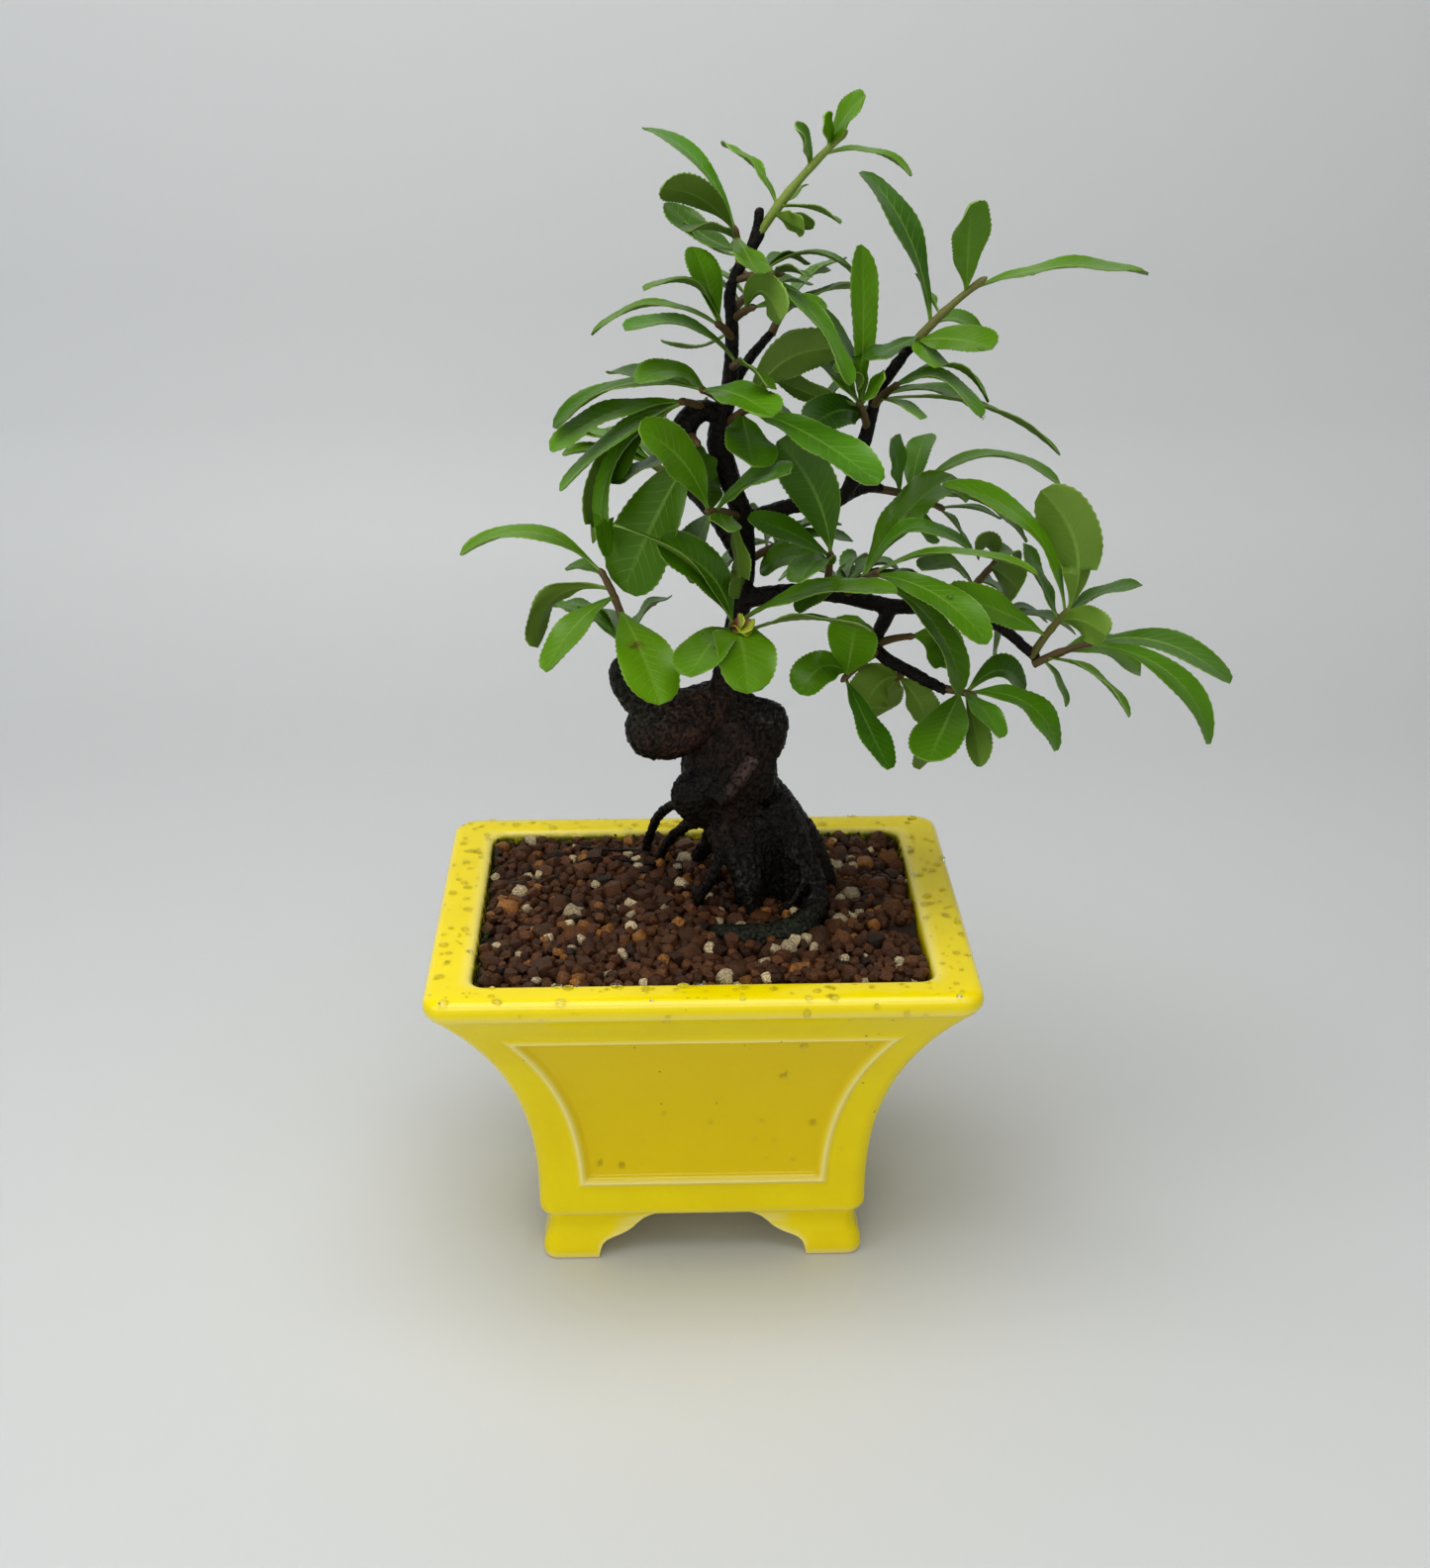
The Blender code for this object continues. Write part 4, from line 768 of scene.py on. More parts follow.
# Leafy shoots
# Spoon-shaped evergreen leaves with a pale midrib and finely toothed edges, on thin twigs, each
# grown from a bud on the older wood. Young leaves are yellow-green, and all are olive below.
FRONT = Vector((-0.03, -0.92, 0.40))    # towards a viewer who looks a little down on the tree
UP = Vector((0.0, 0.0, 1.0))
STALK_HALF = 0.5
FOLD = 0.16                     # how far the halves rise from the midrib, per half width
APART = 0.055                   # share of the twig between leaves that leave it together
TWIG_RADII = (1.15, 1.0, 0.8)
TWIG_ARCH = 0.03
STATIONS = 40                   # steps along a leaf, two for each of its teeth
ACROSS = (-1.0, -0.88, -0.62, -0.32, -0.1, 0.0, 0.1, 0.32, 0.62, 0.88, 1.0)
TOOTH = 0.16
THICK_MIDDLE = 0.5
WIDEST_AT = 0.66                # share of a leaf's length
BROADER = 1.1                   # a leaf's full outline against the straight-sided solid's
THICK_EDGE = 0.26

# Shoots: where the twig leaves the wood, its turn, toward and length, then its leaves as
# (share of the twig, turn, toward, length, arch, width, lean). All turns are seen from the front:
# turn 0 points right, 90 up, 180 left and 270 down, and toward is how far it leans to the viewer.
# arch is how high the middle rises, as a share of the length. lean 0 shows the upper face to the
# front, 90 turns it to the sky, and past 90 the underside shows.
SHOOTS = {
    "leader": ((15, 6, 270.5), 50, 5, 30, [
        (0.25, 135, -35, 22, 0.12, 7, 70),
        (0.7, 120, 30, 11, 0.12, 6, 55),
        (1.0, 135, 45, 10, 0, 5, 45),
        (1.0, 65, 30, 12, 0.05, 8, 45),
        (1.0, -30, -10, 20, 0.15, 6, 60),
        (0.25, -10, 30, 17, 0.1, 5, 75),
        (0.25, -35, 50, 11, 0, 5, 125),
        (0.3, -40, -20, 11, 0, 5, 115),
        (0.4, 0, -70, 11, 0, 6, 60)]),
    "crown": ((10.5, 6, 263), 100, 15, 9, [
        (1.0, 135, -30, 35, 0.14, 8, 60),
        (1.0, 145, 40, 28, 0.1, 8, 120),
        (0.5, 155, -45, 26, -0.08, 9, 45),
        (0.9, 160, 60, 24, 0.05, 8, 65),
        (0.5, 165, -50, 20, -0.1, 8, 70),
        (0.8, -50, 75, 23, 0, 9, 40)]),
    "high_left": ((9, 6, 245), 130, 40, 8, [
        (1.0, 110, -25, 20, 0.05, 9, 45),
        (0.8, 150, 25, 24, 0.25, 8, 70),
        (0.6, 185, -15, 34, 0.2, 8, 70),
        (0.6, 200, -40, 21, -0.12, 7, 75)]),
    "high_right": ((9, 6, 259.5), 10, 15, 11, [
        (0.5, 0, -50, 20, 0.15, 7, 65),
        (0.6, -10, -30, 30, 0.2, 7, 75),
        (1.0, 25, 70, 18, 0.05, 6, 65),
        (0.5, -45, 40, 39, 0.15, 9, 60),
        (0.8, -50, -15, 39, 0.1, 8, 60)]),
    "high_front": ((9, 6, 250), 45, 50, 9, [
        (0.6, 15, 70, 23, 0.25, 9, 125),
        (1.0, 0, 0, 18, 0.05, 8, 55)]),
    "middle_left": ((8.5, 6, 238), 65, 65, 8, [
        (0.7, 155, 35, 36, 0.14, 9, 55),
        (0.8, -5, 75, 24, 0.05, 8, 65)]),
    "left_rosette": ((7, 6, 229), 135, 50, 13, [
        (1.0, 0, 60, 31, 0.06, 11, 35),
        (1.0, 180, -40, 30, 0.05, 8, 65),
        (1.0, 160, 45, 23, 0.15, 9, 45),
        (1.0, 195, -5, 38, 0.16, 10, 60)]),
    "left_hanging": ((1, 3, 229), 150, 45, 8, [
        (0.9, 200, 0, 35, 0.1, 10, 50),
        (1.0, 215, 5, 37, 0.06, 9, 65),
        (1.0, 230, -15, 30, 0.12, 10, 35),
        (1.0, 245, -5, 45, 0.2, 9, 60),
        (1.0, 240, -15, 47, 0.2, 8, 105)]),
    "front_middle": ((8, 5, 225), 50, 55, 12, [
        (0.6, -75, 70, 23, 0, 12, 25),
        (1.0, -20, 45, 43, 0.05, 13, 40),
        (1.0, 30, -15, 27, 0.2, 10, 145)]),
    "stub_leaves": ((-3, 3, 223), -20, 70, 8.5, [
        (1.0, 245, -10, 45, 0.02, 17, 20),
        (1.0, 210, -20, 25, 0, 9, 60),
        (0.9, -70, 15, 10, 0, 8, 60)]),
    "left_middle": ((11, 6, 200), 145, 55, 18.5, [
        (1.0, 125, 25, 32, 0.1, 11, 30),
        (1.0, 90, -70, 22, -0.05, 8, 45),
        (0.9, 40, 40, 30, 0.08, 10, 50),
        (0.9, -25, 70, 12, 0, 7, 40),
        (0.6, -80, 0, 23, 0.1, 8, 120),
        (0.9, 255, -38, 30, 0.03, 10, 40)]),
    "far_left": ((-19, 3, 172.5), 110, 5, 15.5, [
        (1.0, 175, -10, 37, 0.22, 9, 65),
        (1.0, 185, -40, 12, 0.1, 5, 60),
        (0.8, 225, -10, 27, 0.28, 9, 120),
        (0.7, 220, 50, 32, 0.1, 9, 40),
        (0.5, -60, 50, 34, 0.08, 14, 30)]),
    "front": ((8.5, 5, 164), 90, 40, 15, [
        (1.0, 135, 15, 43, 0.1, 8, 80),
        (1.0, 130, 12, 30, 0.15, 11, 25),
        (0.9, 200, 65, 28, 0.08, 13, 35),
        (1.0, 20, 25, 46, 0.1, 10, 68),
        (0.6, 15, 35, 42, 0.1, 9, 80),
        (0.6, -65, 75, 27, 0.25, 15, 25)]),
    "right_spur": ((43, 12, 221), 110, 45, 13, [
        (1.0, 140, -45, 30, 0.05, 11, 40),
        (1.0, 170, -40, 29, -0.05, 8, 115),
        (0.5, 180, 45, 20, 0.15, 11, 30),
        (1.0, 120, 40, 15, 0.2, 7, 55),
        (1.0, 90, -40, 18, 0.2, 7, 65),
        (1.0, 60, 45, 14, 0, 7, 55),
        (1.0, 90, -10, 38, 0.1, 9, 45)]),
    "upper_right": ((53, 9, 242.5), 45, 5, 23, [
        (0.3, 115, -30, 43, 0.12, 10, 45),
        (0.5, 130, -60, 16, 0, 6, 70),
        (0.9, 100, 30, 25, 0.08, 11, 35),
        (1.0, 0, -10, 43, 0.08, 10, 65),
        (0.2, 0, 55, 24, 0.05, 11, 40),
        (0.3, -25, -40, 21, 0.15, 8, 50),
        (0.2, 195, 40, 20, 0, 8, 50),
        (0.2, -80, 70, 16, 0, 8, 30)]),
    "right_middle": ((44, 11, 227), 55, 40, 11, [
        (1.0, -15, -20, 27, 0.26, 7, 75),
        (0.6, -5, 40, 28, 0.25, 9, 60),
        (0.6, -20, -25, 31, 0.13, 9, 60),
        (0.5, -15, 65, 18, 0.05, 7, 60),
        (0.5, -20, -5, 49, 0.12, 9, 75)]),
    "centre": ((33, 5, 180), 90, 35, 16, [
        (1.0, 115, 5, 33, 0.09, 13, 15),
        (1.0, 155, 0, 23, 0.05, 8, 45),
        (0.9, 200, -30, 21, 0.12, 9, 50),
        (0.9, 165, 70, 28, 0.1, 10, 45)]),
    "centre_right": ((38, 5, 179.5), 65, 55, 23, [
        (0.5, 40, -35, 40, 0.08, 12, 40),
        (0.6, 10, -10, 29, 0.35, 8, 65),
        (0.6, 10, 25, 45, 0.14, 8, 70),
        (1.0, -25, 35, 34, 0.12, 11, 40),
        (1.0, -55, 0, 39, 0.14, 11, 50),
        (0.5, 205, 0, 18, 0.12, 7, 45)]),
    "behind": ((46.5, 21, 203), -25, -30, 24, [
        (0.5, 65, -50, 21, 0.08, 8, 45),
        (0.4, 105, 25, 19, 0.05, 8, 50),
        (0.6, 5, 0, 38, 0.23, 9, 65),
        (0.8, 20, 50, 14, 0.2, 7, 65),
        (0.8, -25, -10, 31, 0.15, 7, 70),
        (1.0, -15, -15, 18, 0.08, 6, 75),
        (0.7, -90, 65, 16, -0.05, 8, 50),
        (1.0, -55, -25, 18, 0.05, 6, 70)]),
    "far_right_back": ((67, 6, 175), 35, -45, 19.5, [
        (1.0, 140, 50, 13, 0.3, 7, 125),
        (1.0, -15, -60, 15, 0.13, 7, 50),
        (1.0, -15, 80, 20, 0.05, 10, 140),
        (0.6, 155, 40, 25, 0.15, 9, 60),
        (0.8, -55, -45, 20, 0.03, 7, 60)]),
    "right_big": ((86.5, 3, 163), 65, 25, 18, [
        (1.0, 105, -5, 32, 0.18, 13, 150),
        (1.0, 135, 0, 47, 0.18, 10, 55),
        (0.9, 120, -50, 24, -0.02, 8, 55),
        (0.6, 155, 20, 34, 0.03, 10, 40),
        (1.0, -10, 65, 17, 0.1, 8, 150),
        (0.8, 20, -10, 23, 0.1, 8, 70)]),
    "right_end": ((87, 2.5, 161), 30, 20, 16, [
        (1.0, 0, 45, 41, 0.13, 11, 55),
        (1.0, -40, 0, 44, 0.17, 10, 50),
        (0.5, -20, -15, 25, 0.18, 10, 50),
        (0.4, -30, 50, 28, 0.15, 8, 70),
        (0.4, -75, 0, 15, 0.08, 5, 65)]),
    "low_right": ((63, -1.5, 156), 0, 35, 8.5, [
        (0.6, 220, 60, 28, 0, 13, 30),
        (0.6, 250, -15, 27, 0, 8, 130),
        (0.9, -85, 55, 22, 0.08, 7, 130),
        (0.9, -40, 70, 20, 0.08, 8, 45),
        (1.0, -35, -5, 29, 0.2, 9, 45),
        (0.8, -15, -35, 22, 0.27, 9, 45)]),
    "low_middle": ((46.5, 3, 165), 210, 30, 12, [
        (1.0, -60, 50, 29, 0, 9, 45),
        (1.0, 85, 25, 22, 0, 12, 20),
        (1.0, 185, 35, 15, 0.3, 10, 25)]),
    "low_back": ((54, 0.5, 160.5), 255, -55, 13, [
        (0.6, 210, 35, 14, 0.2, 12, 150),
        (0.7, 250, -30, 19, 0.05, 12, 150),
        (0.8, -50, 40, 15, 0.1, 9, 135)]),
    "low_top": ((47, 3.5, 167), 30, 40, 10.5, [
        (1.0, -40, 20, 12, 0.35, 12, 35)]),
}

# Shoots at the back, where leaves stand round the twig by the golden angle: where the twig starts,
# its turn, toward and length, how many leaves, and how long they are.
BACK_SHOOTS = {
    "back_low_left": ((-17, 5, 160), 120, -55, 11, 4, 27),
    "back_left": ((-3, 27, 202), 150, -25, 14, 6, 30),
    "back_knot": ((7, 7, 178), 150, -60, 12, 4, 27),
    "back_high": ((19, 22, 243), 55, -45, 10, 5, 28),
    "back_top": ((9, 7, 252), 30, -60, 9, 4, 22),
    "back_right": ((36, 7, 180), -20, -70, 14, 5, 30),
    "back_far_right": ((75, 6, 172), -40, -60, 14, 4, 27),
    "inner_high": ((27, 10, 202.5), 85, -25, 14, 5, 28),
    "inner_low": ((12.5, 7, 188), 15, -35, 13, 5, 26),
}
GOLDEN_ANGLE = radians(137.5)

# Which shoots are young, from 0 for full green to 1 for yellow-green, where they aren't middling
YOUNG = {"leader": 0.55, "crown": 0.3, "left_hanging": 0.45, "front": 0.45, "centre_right": 0.4,
         "far_left": 0.55, "low_right": 0.45, "low_back": 0.9, "low_top": 0.7, "upper_right": 0.35,
         "right_big": 0.4,
         "right_end": 0.45, "behind": 0.35, "centre": 0.45}
MIDDLING = 0.3
GREEN_TWIGS = {"leader": 1.0, "upper_right": 0.45, "right_big": 0.4, "front": 0.4}

LEAF_DEEP = (0.014, 0.062, 0.003, 1.0)
LEAF_GREEN = (0.062, 0.190, 0.004, 1.0)
LEAF_YOUNG = (0.150, 0.310, 0.006, 1.0)
LEAF_BELOW = (0.130, 0.200, 0.028, 1.0)
LEAF_RIB = (0.230, 0.380, 0.070, 1.0)
LEAF_EDGE = (0.340, 0.460, 0.120, 1.0)
LEAF_BROWN = (0.120, 0.040, 0.012, 1.0)
BUD_PINK = (0.340, 0.120, 0.085, 1.0)
BUD_YELLOW = (0.420, 0.480, 0.040, 1.0)

leaf_skin, tree, shader = new_material("firethorn_leaf", 0.3)
shader.inputs["Specular IOR Level"].default_value = 0.34
fine, broad = mottled(tree, 90.0)
aside = sums(tree, "ABSOLUTE", attribute(tree, "across"), 0.0)
along_leaf = attribute(tree, "along")
below = attribute(tree, "below")
young = attribute(tree, "young")
leaf_tint = sums(tree, "MULTIPLY", attribute(tree, "tint"), 0.6)
depth = sums(tree, "ADD", sums(tree, "MULTIPLY", broad, 0.7), leaf_tint)
colour = mixed(tree, span(tree, depth, 0.35, 1.0), LEAF_DEEP, LEAF_GREEN)
colour = mixed(tree, young, colour, LEAF_YOUNG)
ladder = sums(tree, "SUBTRACT", sums(tree, "MULTIPLY", along_leaf, 13.0), sums(tree, "MULTIPLY", aside, 2.0))
ripple = sums(tree, "PINGPONG", ladder, 0.5)
vein = sums(tree, "MULTIPLY", span(tree, ripple, 0.09, 0.0), sums(tree, "SUBTRACT", 1.0, aside))
colour = mixed(tree, sums(tree, "MULTIPLY", vein, 0.30), colour, LEAF_RIB)
colour = mixed(tree, sums(tree, "MULTIPLY", below, 0.72), colour, LEAF_BELOW)
rib_left = sums(tree, "SUBTRACT", 1.05, along_leaf)
rib = sums(tree, "MULTIPLY", span(tree, aside, 0.10, 0.035), rib_left, limit=True)
colour = mixed(tree, sums(tree, "MULTIPLY", rib, 0.75), colour, LEAF_RIB)
stalk = span(tree, along_leaf, 0.14, 0.02)
colour = mixed(tree, sums(tree, "MULTIPLY", stalk, 0.6), colour, LEAF_RIB)
colour = mixed(tree, sums(tree, "MULTIPLY", span(tree, aside, 0.93, 0.99), 0.35), colour, LEAF_EDGE)
brown_here = sums(tree, "MULTIPLY", attribute(tree, "spot"), span(tree, fine, 0.35, 0.6))
colour = mixed(tree, brown_here, colour, LEAF_BROWN)
bud_colour = mixed(tree, span(tree, along_leaf, 0.45, 0.8), BUD_PINK, BUD_YELLOW)
colour = mixed(tree, attribute(tree, "bud"), colour, bud_colour)
tree.links.new(colour, shader.inputs["Base Color"])
rough = sums(tree, "ADD", sums(tree, "MULTIPLY", fine, 0.20), 0.22)
tree.links.new(sums(tree, "ADD", rough, sums(tree, "MULTIPLY", below, 0.25)), shader.inputs["Roughness"])
height = sums(tree, "SUBTRACT", sums(tree, "MULTIPLY", fine, 0.35), sums(tree, "MULTIPLY", vein, 0.5))
relief(tree, shader, height, 0.5, 0.25)

twig_skin, tree, shader = new_material("young_twig", 0.5)
fine, broad = mottled(tree, 200.0)
brown = mixed(tree, fine, (0.060, 0.026, 0.015, 1.0), (0.170, 0.085, 0.045, 1.0))
green = mixed(tree, fine, (0.14, 0.20, 0.025, 1.0), (0.26, 0.33, 0.06, 1.0))
tree.links.new(mixed(tree, attribute(tree, "young"), brown, green), shader.inputs["Base Color"])
relief(tree, shader, fine, 0.6, 0.25)


def heading(turn, toward):
    """The direction that a turn and a toward angle point in."""
    level = cos(radians(toward))
    return Vector((level * cos(radians(turn)), -sin(radians(toward)), level * sin(radians(turn))))


def arched(start, direction, length, arch):
    """The control points of a curve that leaves start, rises by arch in its middle and ends."""
    end = start + direction * length
    rising = (UP - direction * UP.dot(direction)).normalized()
    return start, (start + end) / 2 + rising * (2 * arch * length), end


def on_curve(points, share):
    """The place and the heading at a share of a curve through three control points."""
    start, control, end = points
    first = start.lerp(control, share)
    second = control.lerp(end, share)
    return first.lerp(second, share), (second - first).normalized()


def golden_leaves(twig, count, length):
    """Leaves set round a twig by the golden angle, spread to the back, the lower ones longer."""
    start, _, end = twig
    leaves = []
    for number in range(count):
        share = 0.45 + 0.55 * number / (count - 1)
        around = GOLDEN_ANGLE * number + start.x
        out = Vector((cos(around), sin(around), 0.0)) + (end - start).normalized() * (0.5 + 0.5 * share)
        out.y = abs(out.y) * 0.8 + 0.2
        out.z -= 0.12
        turn = degrees(atan2(out.z, out.x))
        toward = degrees(asin(-out.y / out.length))
        reach = length * (1.05 - 0.25 * share)
        leaves.append((share, turn, toward, reach, 0.12, 0.3 * reach, 68))
    return leaves


def blade_half(along, width, stalk):
    """Half width of a leaf at a share of its length: a stalk, widest past the middle, a round tip."""
    if along < WIDEST_AT:
        return max(stalk, width / 2 * sin(pi / 2 * along / WIDEST_AT) ** 1.25)
    past = (along - WIDEST_AT) / (1.0 - WIDEST_AT)
    return max(0.06, width / 2 * (1.0 - past ** 2.8) ** 0.5)


def leaf_blade(twig, number, leaf, draw):
    """The points of a leaf's upper and lower face, with what its skin needs to know at each."""
    share, turn, toward, length, arch, width, lean = leaf
    place, _ = on_curve(twig, share)
    tip = place + heading(turn, toward) * length
    start, _ = on_curve(twig, max(0.3 * share, share - APART * (number % 5)))
    line = arched(start, (tip - start).normalized(), (tip - start).length, arch)
    waves = draw.uniform(1.3, 2.4)
    phase = draw.uniform(0.0, 2 * pi)
    wave_depth = draw.uniform(0.25, 0.6)
    roll = draw.uniform(-6.0, 6.0)
    upper = []
    lower = []
    for step in range(STATIONS + 1):
        along = step / STATIONS
        here, direction = on_curve(line, along)
        to_front = (FRONT - direction * FRONT.dot(direction)).normalized()
        to_sky = to_front.cross(direction)
        if to_sky.z < 0:
            to_sky.negate()
        turned = radians(lean + roll * sin(pi * along))
        face = to_front * cos(turned) + to_sky * sin(turned)
        across = direction.cross(face)
        half = blade_half(along, width * BROADER, STALK_HALF)
        tooth = TOOTH * (1 if step % 2 else -1) * smooth_step((along - 0.3) / 0.2) * min(1.0, half / 2.5)
        for aside in ACROSS:
            out = half + (tooth if abs(aside) == 1.0 else 0.0)
            lift = FOLD * half * abs(aside) ** 1.3
            wave = sin(2 * pi * waves * along + phase * aside)
            lift += wave_depth * min(1.0, half / 3) * aside * aside * wave
            lift -= 0.10 * near(aside * half, 0.5)
            lift += 0.05 * cos(2 * pi * (13.0 * along - 2.0 * abs(aside))) * min(1.0, half / 3)
            middle = here + across * (out * aside) + face * lift
            thick = THICK_EDGE + (THICK_MIDDLE - THICK_EDGE) * near(aside * half, 0.9)
            upper.append((middle + face * thick / 2, aside, along, 0.0))
            lower.append((middle - face * thick / 2, aside, along, 1.0))
    return upper, lower


def leaf_faces(first):
    """The faces of one leaf whose points start at a number: both faces and the rim between them."""
    wide = len(ACROSS)
    count = wide * (STATIONS + 1)
    faces = []
    for row in range(STATIONS):
        for column in range(wide - 1):
            a = first + row * wide + column
            faces.append((a, a + 1, a + wide + 1, a + wide))
            faces.append((a + count, a + count + wide, a + count + wide + 1, a + count + 1))
    edge = [row * wide + wide - 1 for row in range(STATIONS + 1)]
    edge += [STATIONS * wide + column for column in reversed(range(wide - 1))]
    edge += [row * wide for row in reversed(range(STATIONS))]
    edge += list(range(1, wide - 1))
    for a, b in zip(edge, edge[1:] + edge[:1]):
        faces.append((first + a, first + a + count, first + b + count, first + b))
    return faces


def leafy_shoot(name, twig, leaves, young_share, draw):
    points = []
    faces = []
    marks = {"across": [], "along": [], "below": [], "young": [], "tint": [], "spot": [], "bud": []}
    for number, leaf in enumerate(leaves + BUD_LEAVES.get(name, [])):
        upper, lower = leaf_blade(twig, number, leaf, draw)
        faces += leaf_faces(len(points))
        tint = draw.random()
        age = min(1.0, max(0.0, young_share + draw.uniform(-0.22, 0.22)))
        spotted = SPOTTED.get((name, number))
        for point, aside, along, below in upper + lower:
            points.append(placed(*point))
            marks["across"].append(aside)
            marks["along"].append(along)
            marks["below"].append(below)
            marks["young"].append(age)
            marks["tint"].append(tint)
            spot = 0.0
            if spotted:
                spot = near(aside - spotted[0], 0.22) * near(along - spotted[1], 0.05)
            marks["spot"].append(spot)
            marks["bud"].append(1.0 if number >= len(leaves) else 0.0)
        if draw.random() < DEWY_SHARE and leaf[6] < 100:
            dew.append((upper[draw.randrange(len(upper) // 3, len(upper))][0], draw.uniform(0.35, 0.9)))
    blades = new_piece(name + "_leaves", points, faces, leaf_skin, 70.0)
    for key, values in marks.items():
        layer = blades.data.attributes.new(key, "FLOAT", "POINT")
        layer.data.foreach_set("value", values)
    line = []
    for step in range(13):
        share = step / 12
        place, direction = on_curve(twig, share)
        radius = TWIG_RADII[0] + (TWIG_RADII[2] - TWIG_RADII[0]) * share
        knobs = 0.18 * max(near(share - leaf[0], 0.05) for leaf in leaves)
        line.append(np.array([*place, radius + knobs]))
    for past, radius in ((0.5, 0.8), (1.0, 0.62), (1.4, 0.35), (1.6, 0.12)):
        line.append(np.array([*(place + direction * past), radius]))
    stem = tube(line, 10, twig_skin)
    layer = stem.data.attributes.new("young", "FLOAT", "POINT")
    layer.data.foreach_set("value", [GREEN_TWIGS.get(name, 0.12)] * len(stem.data.vertices))
    return joined(name + "_shoot", [blades, stem])


# A leaf with a brown spot, across and along it, and the small folded leaves of an opening bud
SPOTTED = {("far_left", 4): (0.1, 0.45)}
BUD_LEAVES = {"front": [(1.0, 20, 62, 10, 0, 5, 30), (1.0, -5, 70, 9, 0.1, 4, 50), (1.0, 50, 60, 8, 0, 4, 20),
                        (1.0, -60, 60, 6, 0, 4, 30)]}
DEWY_SHARE = 0.3
dew = []
twigs = [(name, arched(Vector(start), heading(turn, toward), length, TWIG_ARCH), leaves)
         for name, (start, turn, toward, length, leaves) in SHOOTS.items()]
for name, (start, turn, toward, length, count, reach) in BACK_SHOOTS.items():
    twig = arched(Vector(start), heading(turn, toward), length, TWIG_ARCH)
    twigs.append((name, twig, golden_leaves(twig, count, reach)))
draw = random.Random(23)
for name, twig, leaves in twigs:
    shoot = leafy_shoot(name, twig, leaves, YOUNG.get(name, MIDDLING), draw)
    bm = bmesh.new()
    bm.from_mesh(shoot.data)
    bmesh.ops.recalc_face_normals(bm, faces=bm.faces)
    bm.to_mesh(shoot.data)
    bm.free()
    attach(shoot, "root")
    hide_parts(name)

# Water
# Drops left from watering: flat beads on the rim, and a few on the wall and the leaves.
water, tree, shader = new_material("water_drops", 0.02)
shader.inputs["Transmission Weight"].default_value = 1.0
shader.inputs["IOR"].default_value = 1.33
shader.inputs["Base Color"].default_value = (1.0, 1.0, 1.0, 1.0)
DROPS = 260
WALL_DROPS = 70
draw = random.Random(31)
rough_draw = np.random.default_rng(31)
bpy.ops.mesh.primitive_uv_sphere_add(segments=14, ring_count=8, radius=1.0)
bead = bpy.context.object
bead_points = np.array([vert.co[:] for vert in bead.data.vertices])
bead_faces = [tuple(face.vertices) for face in bead.data.polygons]
bpy.data.objects.remove(bead, do_unlink=True)
drops = []
while len(drops) < DROPS:
    x = draw.uniform(-1, 1) * (RIM_HALF - 1.2)
    y = draw.uniform(-1, 1) * (RIM_HALF - SIDE_LESS - 1.2)
    if abs(x) < INNER_HALF + 1.4 and abs(y) < INNER_HALF - INNER_SIDE_LESS + 1.4:
        continue
    radius = 0.3 + 1.1 * draw.random() ** 2
    round_scales = (draw.uniform(0.85, 1.2), draw.uniform(0.85, 1.2), 0.42)
    turn = Euler((0, 0, draw.uniform(0, pi)))
    drops.append(((x, y, POT_HEIGHT - 0.02), radius, round_scales, turn, (1, 1, 1)))
for number in range(WALL_DROPS):
    z = 93.0 - 75.0 * draw.random() ** 1.6
    half = RIM_HALF if z > LIP_FROM else wall_half(z)
    x = draw.uniform(-1, 1) * (half - 7.0)
    inside = min(half - abs(x) - PANEL_INSET, z - PANEL_FROM, PANEL_TO - z)
    if abs(inside) < BEAD_HALF + 0.6:
        continue
    push = panel_push(inside) if z < LIP_FROM else 0.0
    radius = 0.25 + 0.8 * draw.random() ** 2.5
    drops.append(((x, -(half - SIDE_LESS + push), z), radius, (0.95, 0.4, 1.25), Euler((0, 0, 0)), (1, 1, 1)))
for place, radius in dew:
    drops.append((tuple(place), radius, (1.0, 1.0, 0.7), Euler((0, 0, 0)), (1, 1, 1)))
beads = scattered("water_beads", drops, bead_points, bead_faces, water, 0.0)
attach(beads, "root")

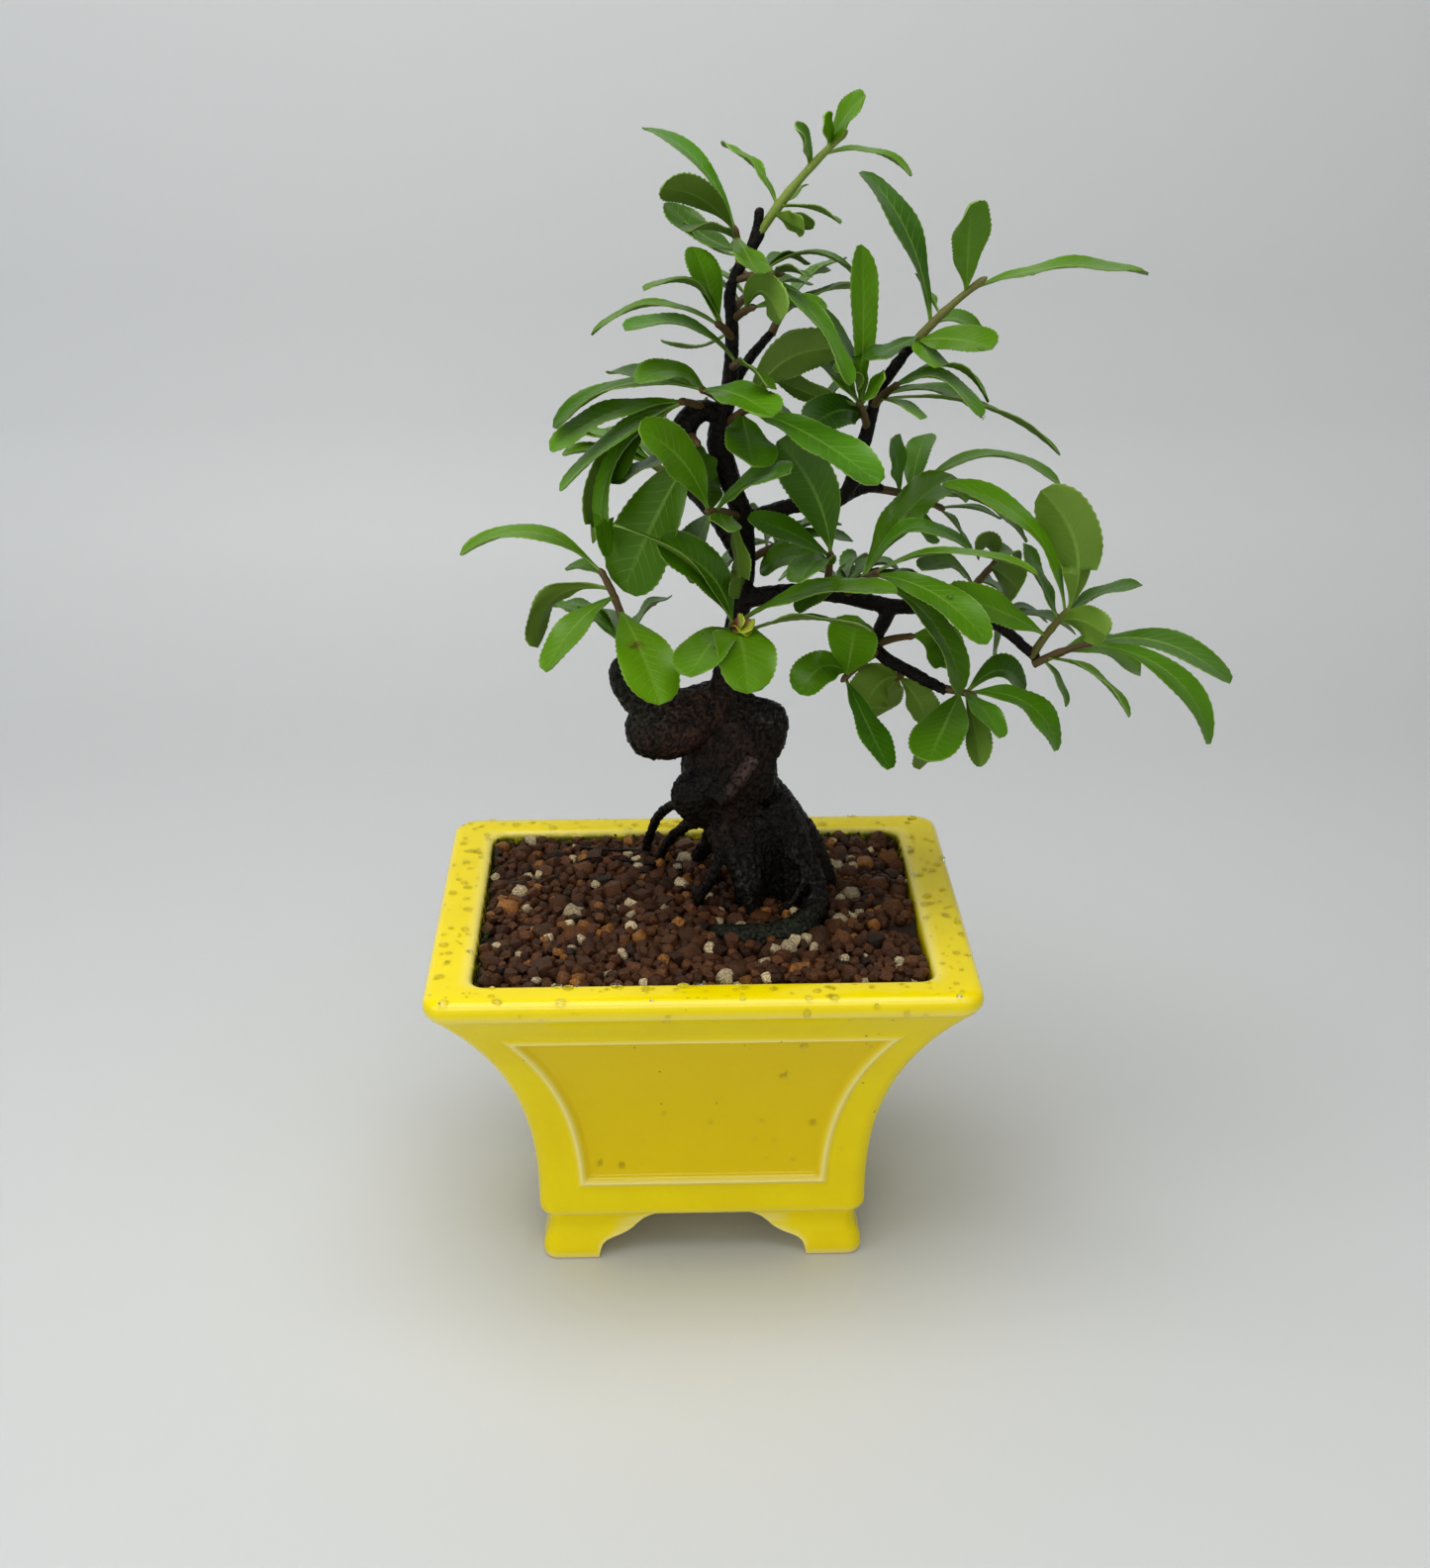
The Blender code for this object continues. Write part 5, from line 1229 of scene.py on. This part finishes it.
# Floor, light and camera
# A pale sweep behind and below the tree, one broad soft light from above and weaker ones from the
# sides, and a camera a little above the pot, looking down on it.
FOCAL_LENGTH = 48.86            # for a sensor 36 mm high
CAMERA_AT = (-10.7, -513.4, 353.7)
CAMERA_DOWN = 23.61
CAMERA_ASIDE = 1.66
SWEEP = [(-1800, 0), (330, 0), (380, 2), (430, 12), (470, 32), (500, 62), (515, 100), (520, 160), (520, 1800)]
paper, tree, shader = new_material("pale_paper", 0.55)
shader.inputs["Base Color"].default_value = (0.60, 0.61, 0.61, 1.0)
points = [placed(side * 1900, y, z) for y, z in SWEEP for side in (-1, 1)]
faces = [(2 * row, 2 * row + 1, 2 * row + 3, 2 * row + 2) for row in range(len(SWEEP) - 1)]
floor = new_piece("floor", points, faces, paper, 60.0)


def soft_light(name, place, aim, size, power, colour):
    lamp = bpy.data.lights.new(name, "AREA")
    lamp.shape = "RECTANGLE"
    lamp.size = size[0] * MM
    lamp.size_y = size[1] * MM
    lamp.energy = power
    lamp.color = colour
    holder = bpy.data.objects.new(name, lamp)
    holder.location = placed(*place)
    holder.rotation_euler = (placed(*aim) - holder.location).to_track_quat("-Z", "Y").to_euler()
    bpy.context.scene.collection.objects.link(holder)


soft_light("overhead", (-60, -120, 900), (0, 0, 120), (900, 700), 5.5, (1.0, 0.99, 0.97))
soft_light("window", (-900, -500, 520), (0, 0, 150), (700, 700), 2.3, (0.93, 0.97, 1.0))
soft_light("fill", (800, -700, 420), (0, 0, 120), (800, 600), 0.9, (1.0, 0.98, 0.95))
soft_light("front", (-150, -1100, 500), (0, 0, 90), (900, 500), 2.8, (1.0, 0.99, 0.97))
world = bpy.data.worlds.new("room")
world.use_nodes = True
world.node_tree.nodes["Background"].inputs["Color"].default_value = (0.86, 0.90, 0.95, 1.0)
world.node_tree.nodes["Background"].inputs["Strength"].default_value = 0.22
bpy.context.scene.world = world
bpy.context.scene.view_settings.view_transform = "Standard"
bpy.context.scene.view_settings.look = "Medium High Contrast"

lens = bpy.data.cameras.new("camera")
lens.sensor_fit = "VERTICAL"
lens.sensor_height = 36.0
lens.lens = FOCAL_LENGTH
camera = bpy.data.objects.new("camera", lens)
camera.location = placed(*CAMERA_AT)
camera.rotation_euler = (radians(90.0 - CAMERA_DOWN), 0.0, radians(-CAMERA_ASIDE))
bpy.context.scene.collection.objects.link(camera)
bpy.context.scene.camera = camera
